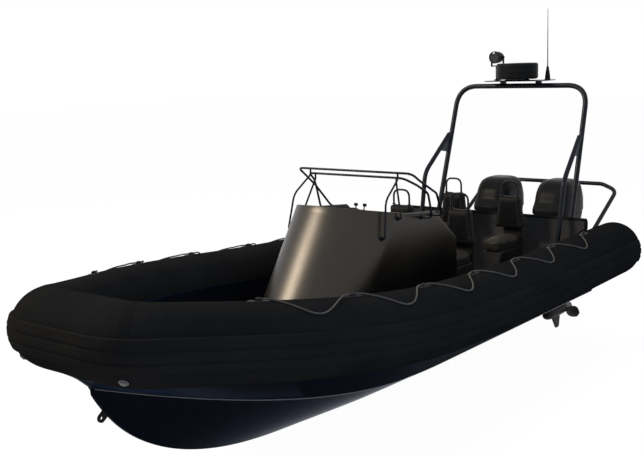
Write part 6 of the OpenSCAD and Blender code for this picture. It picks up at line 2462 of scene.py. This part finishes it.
@dataclass(frozen=True)
class Studio:
    """Camera at the photograph's viewing angle, floor, lamps and world."""

    eye: tuple[float, float, float] = (7.4863, 5.6702, 2.8014)
    yaw: float = math.radians(38.717)
    pitch: float = math.radians(9.609)
    roll: float = math.radians(-1.893)
    focal_px: float = 998.34
    frame_px: float = 644.0
    sensor: float = 36.0
    far_clip: float = 200.0
    floor_half: float = 60.0
    floor_colour: Colour = (0.80, 0.81, 0.83)
    floor_glow: float = 1.10
    floor_whiteness: float = 0.88
    sky_colour: Colour = (0.62, 0.70, 0.82)
    sky_strength: float = 0.32
    key: Lamp = Lamp("key", (6.25, -7.25, 7.6), (0.3, 0.0, 0.9), (2.6, 2.6), 1000.0, (1.0, 0.89, 0.72), True)
    fill: Lamp = Lamp("fill", (3.0, 11.0, 3.5), (0.0, 0.0, 0.5), (7.0, 4.0), 250.0, (0.49, 0.67, 1.0))
    top: Lamp = Lamp("top", (-0.8, 1.2, 10.0), (-0.5, 0.0, 0.5), (7.0, 7.0), 340.0, (1.0, 0.97, 0.93))

    def build(self, floor_z: float) -> None:
        """Set up the camera, the floor, the lamps and the world.

        Args:
            floor_z: Height of the floor.
        """
        self.camera()
        self.floor(floor_z)
        for lamp in (self.key, self.fill, self.top):
            self.light(lamp)
        self.world()
        bpy.context.scene.view_settings.view_transform = "Standard"

    def stand(self, item: bpy.types.Object, axes: Sequence[Array], place: Numbers) -> None:
        """Link an object to the scene, turned to three axes and set at a place.

        Args:
            item: Object that is linked.
            axes: Its three axes in the scene.
            place: Its origin.
        """
        rows = [[*axis, spot] for axis, spot in zip(np.stack(axes, 1), place)]
        item.matrix_world = Matrix([*rows, [0, 0, 0, 1]])
        bpy.context.scene.collection.objects.link(item)

    def camera(self) -> None:
        """Camera from its place, yaw, pitch and roll."""
        level_reach = math.cos(self.pitch)
        fore = np.array([-math.cos(self.yaw) * level_reach, -math.sin(self.yaw) * level_reach,
                         -math.sin(self.pitch)])
        right = unit(np.cross(fore, Z_AXIS))
        up = np.cross(right, fore)
        level = right * math.cos(self.roll) + up * math.sin(self.roll)
        top = -right * math.sin(self.roll) + up * math.cos(self.roll)
        lens = bpy.data.cameras.new("camera")
        lens.sensor_fit = "HORIZONTAL"
        lens.sensor_width = self.sensor
        lens.lens = self.focal_px / self.frame_px * self.sensor
        lens.clip_end = self.far_clip
        camera = bpy.data.objects.new("camera", lens)
        self.stand(camera, [level, top, -fore], self.eye)
        bpy.context.scene.camera = camera

    def seen(self, tree: bpy.types.NodeTree) -> bpy.types.NodeSocket:
        """Mask of the rays that show the background: from the camera, off gloss and through glass.

        Args:
            tree: Node tree that gets the mask.

        Returns:
            Output that is 1 for those rays.
        """
        path = add_node(tree, "LightPath", {})
        mask = path.outputs["Is Camera Ray"]
        for name in ("Is Glossy Ray", "Is Transmission Ray"):
            mask = add_node(tree, "Math", {0: mask, 1: path.outputs[name]}, "MAXIMUM").outputs[0]
        return mask

    def floor(self, floor_z: float) -> None:
        """Pale floor that keeps the shadow and is nearly white to the camera.

        Args:
            floor_z: Height of the floor.
        """
        mesh = bpy.data.meshes.new("floor")
        corners = rectangle(2 * self.floor_half, 2 * self.floor_half)
        mesh.from_pydata([(x, y, floor_z) for x, y in corners], [], [(0, 1, 2, 3)])
        floor = bpy.data.objects.new("floor", mesh)
        bpy.context.scene.collection.objects.link(floor)
        material = bpy.data.materials.new("pale floor")
        material.use_nodes = True
        tree = material.node_tree
        tree.nodes.remove(tree.nodes["Principled BSDF"])
        matt = add_node(tree, "BsdfDiffuse", {"Color": (*self.floor_colour, 1.0)})
        white = add_node(tree, "Emission", {"Strength": self.floor_glow})
        share = add_node(tree, "Math", {0: self.seen(tree), 1: self.floor_whiteness}, "MULTIPLY")
        sources = {"Fac": share.outputs[0], 1: matt.outputs["BSDF"], 2: white.outputs["Emission"]}
        mix = add_node(tree, "MixShader", sources)
        feed(tree, tree.nodes["Material Output"], {"Surface": mix.outputs["Shader"]})
        mesh.materials.append(material)
        floor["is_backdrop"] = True

    def light(self, lamp: Lamp) -> None:
        """Set up a lamp that looks at its point.

        Args:
            lamp: The lamp.
        """
        light = bpy.data.lights.new(lamp.name, "AREA")
        light.shape = "RECTANGLE"
        light.size, light.size_y = lamp.size
        light.energy = lamp.power
        light.color = lamp.colour
        back = unit(np.asarray(lamp.place, float) - np.asarray(lamp.aim, float))
        right = unit(np.cross(Z_AXIS, back))
        item = bpy.data.objects.new(lamp.name, light)
        item.visible_glossy = lamp.shines
        self.stand(item, [right, np.cross(back, right), back], lamp.place)

    def world(self) -> None:
        """World that is white behind the object and a soft grey-blue light on it."""
        world = bpy.data.worlds.new("studio")
        bpy.context.scene.world = world
        world.use_nodes = True
        tree = world.node_tree
        soft = tree.nodes["Background"]
        feed(tree, soft, {"Color": (*self.sky_colour, 1.0), "Strength": self.sky_strength})
        white = add_node(tree, "Background", {"Color": (1.0, 1.0, 1.0, 1.0), "Strength": 1.0})
        sources = {"Fac": self.seen(tree), 1: soft.outputs["Background"], 2: white.outputs["Background"]}
        mix = add_node(tree, "MixShader", sources)
        feed(tree, tree.nodes["World Output"], {"Surface": mix.outputs["Shader"]})


def main() -> None:
    """Load the frame, dress it piece by piece, and set up the studio."""
    logging.basicConfig(level=logging.INFO, format="%(name)s %(message)s")
    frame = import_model()
    cad_box = [list(corner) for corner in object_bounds()]
    nodes = frame["nodes"]
    dress(nodes, FINISH.sole, ["deck_sole"])
    dress(nodes, FINISH.motor_dark, ["bow_eye", "stern_eyes"])
    dress(nodes, FINISH.block, ["powerhead_port", "powerhead_starboard"])
    Collar().build()
    Hull().build()
    Stern().build()
    console = Console()
    console.build()
    Helm().build()
    Rails().build(console)
    Seats().build()
    Arch().build()
    Searchlight().build()
    for side in Side:
        Outboard(side).build()
    Studio().build(cad_box[0][2] - FLOOR_DROP)


if __name__ == "__main__":
    main()
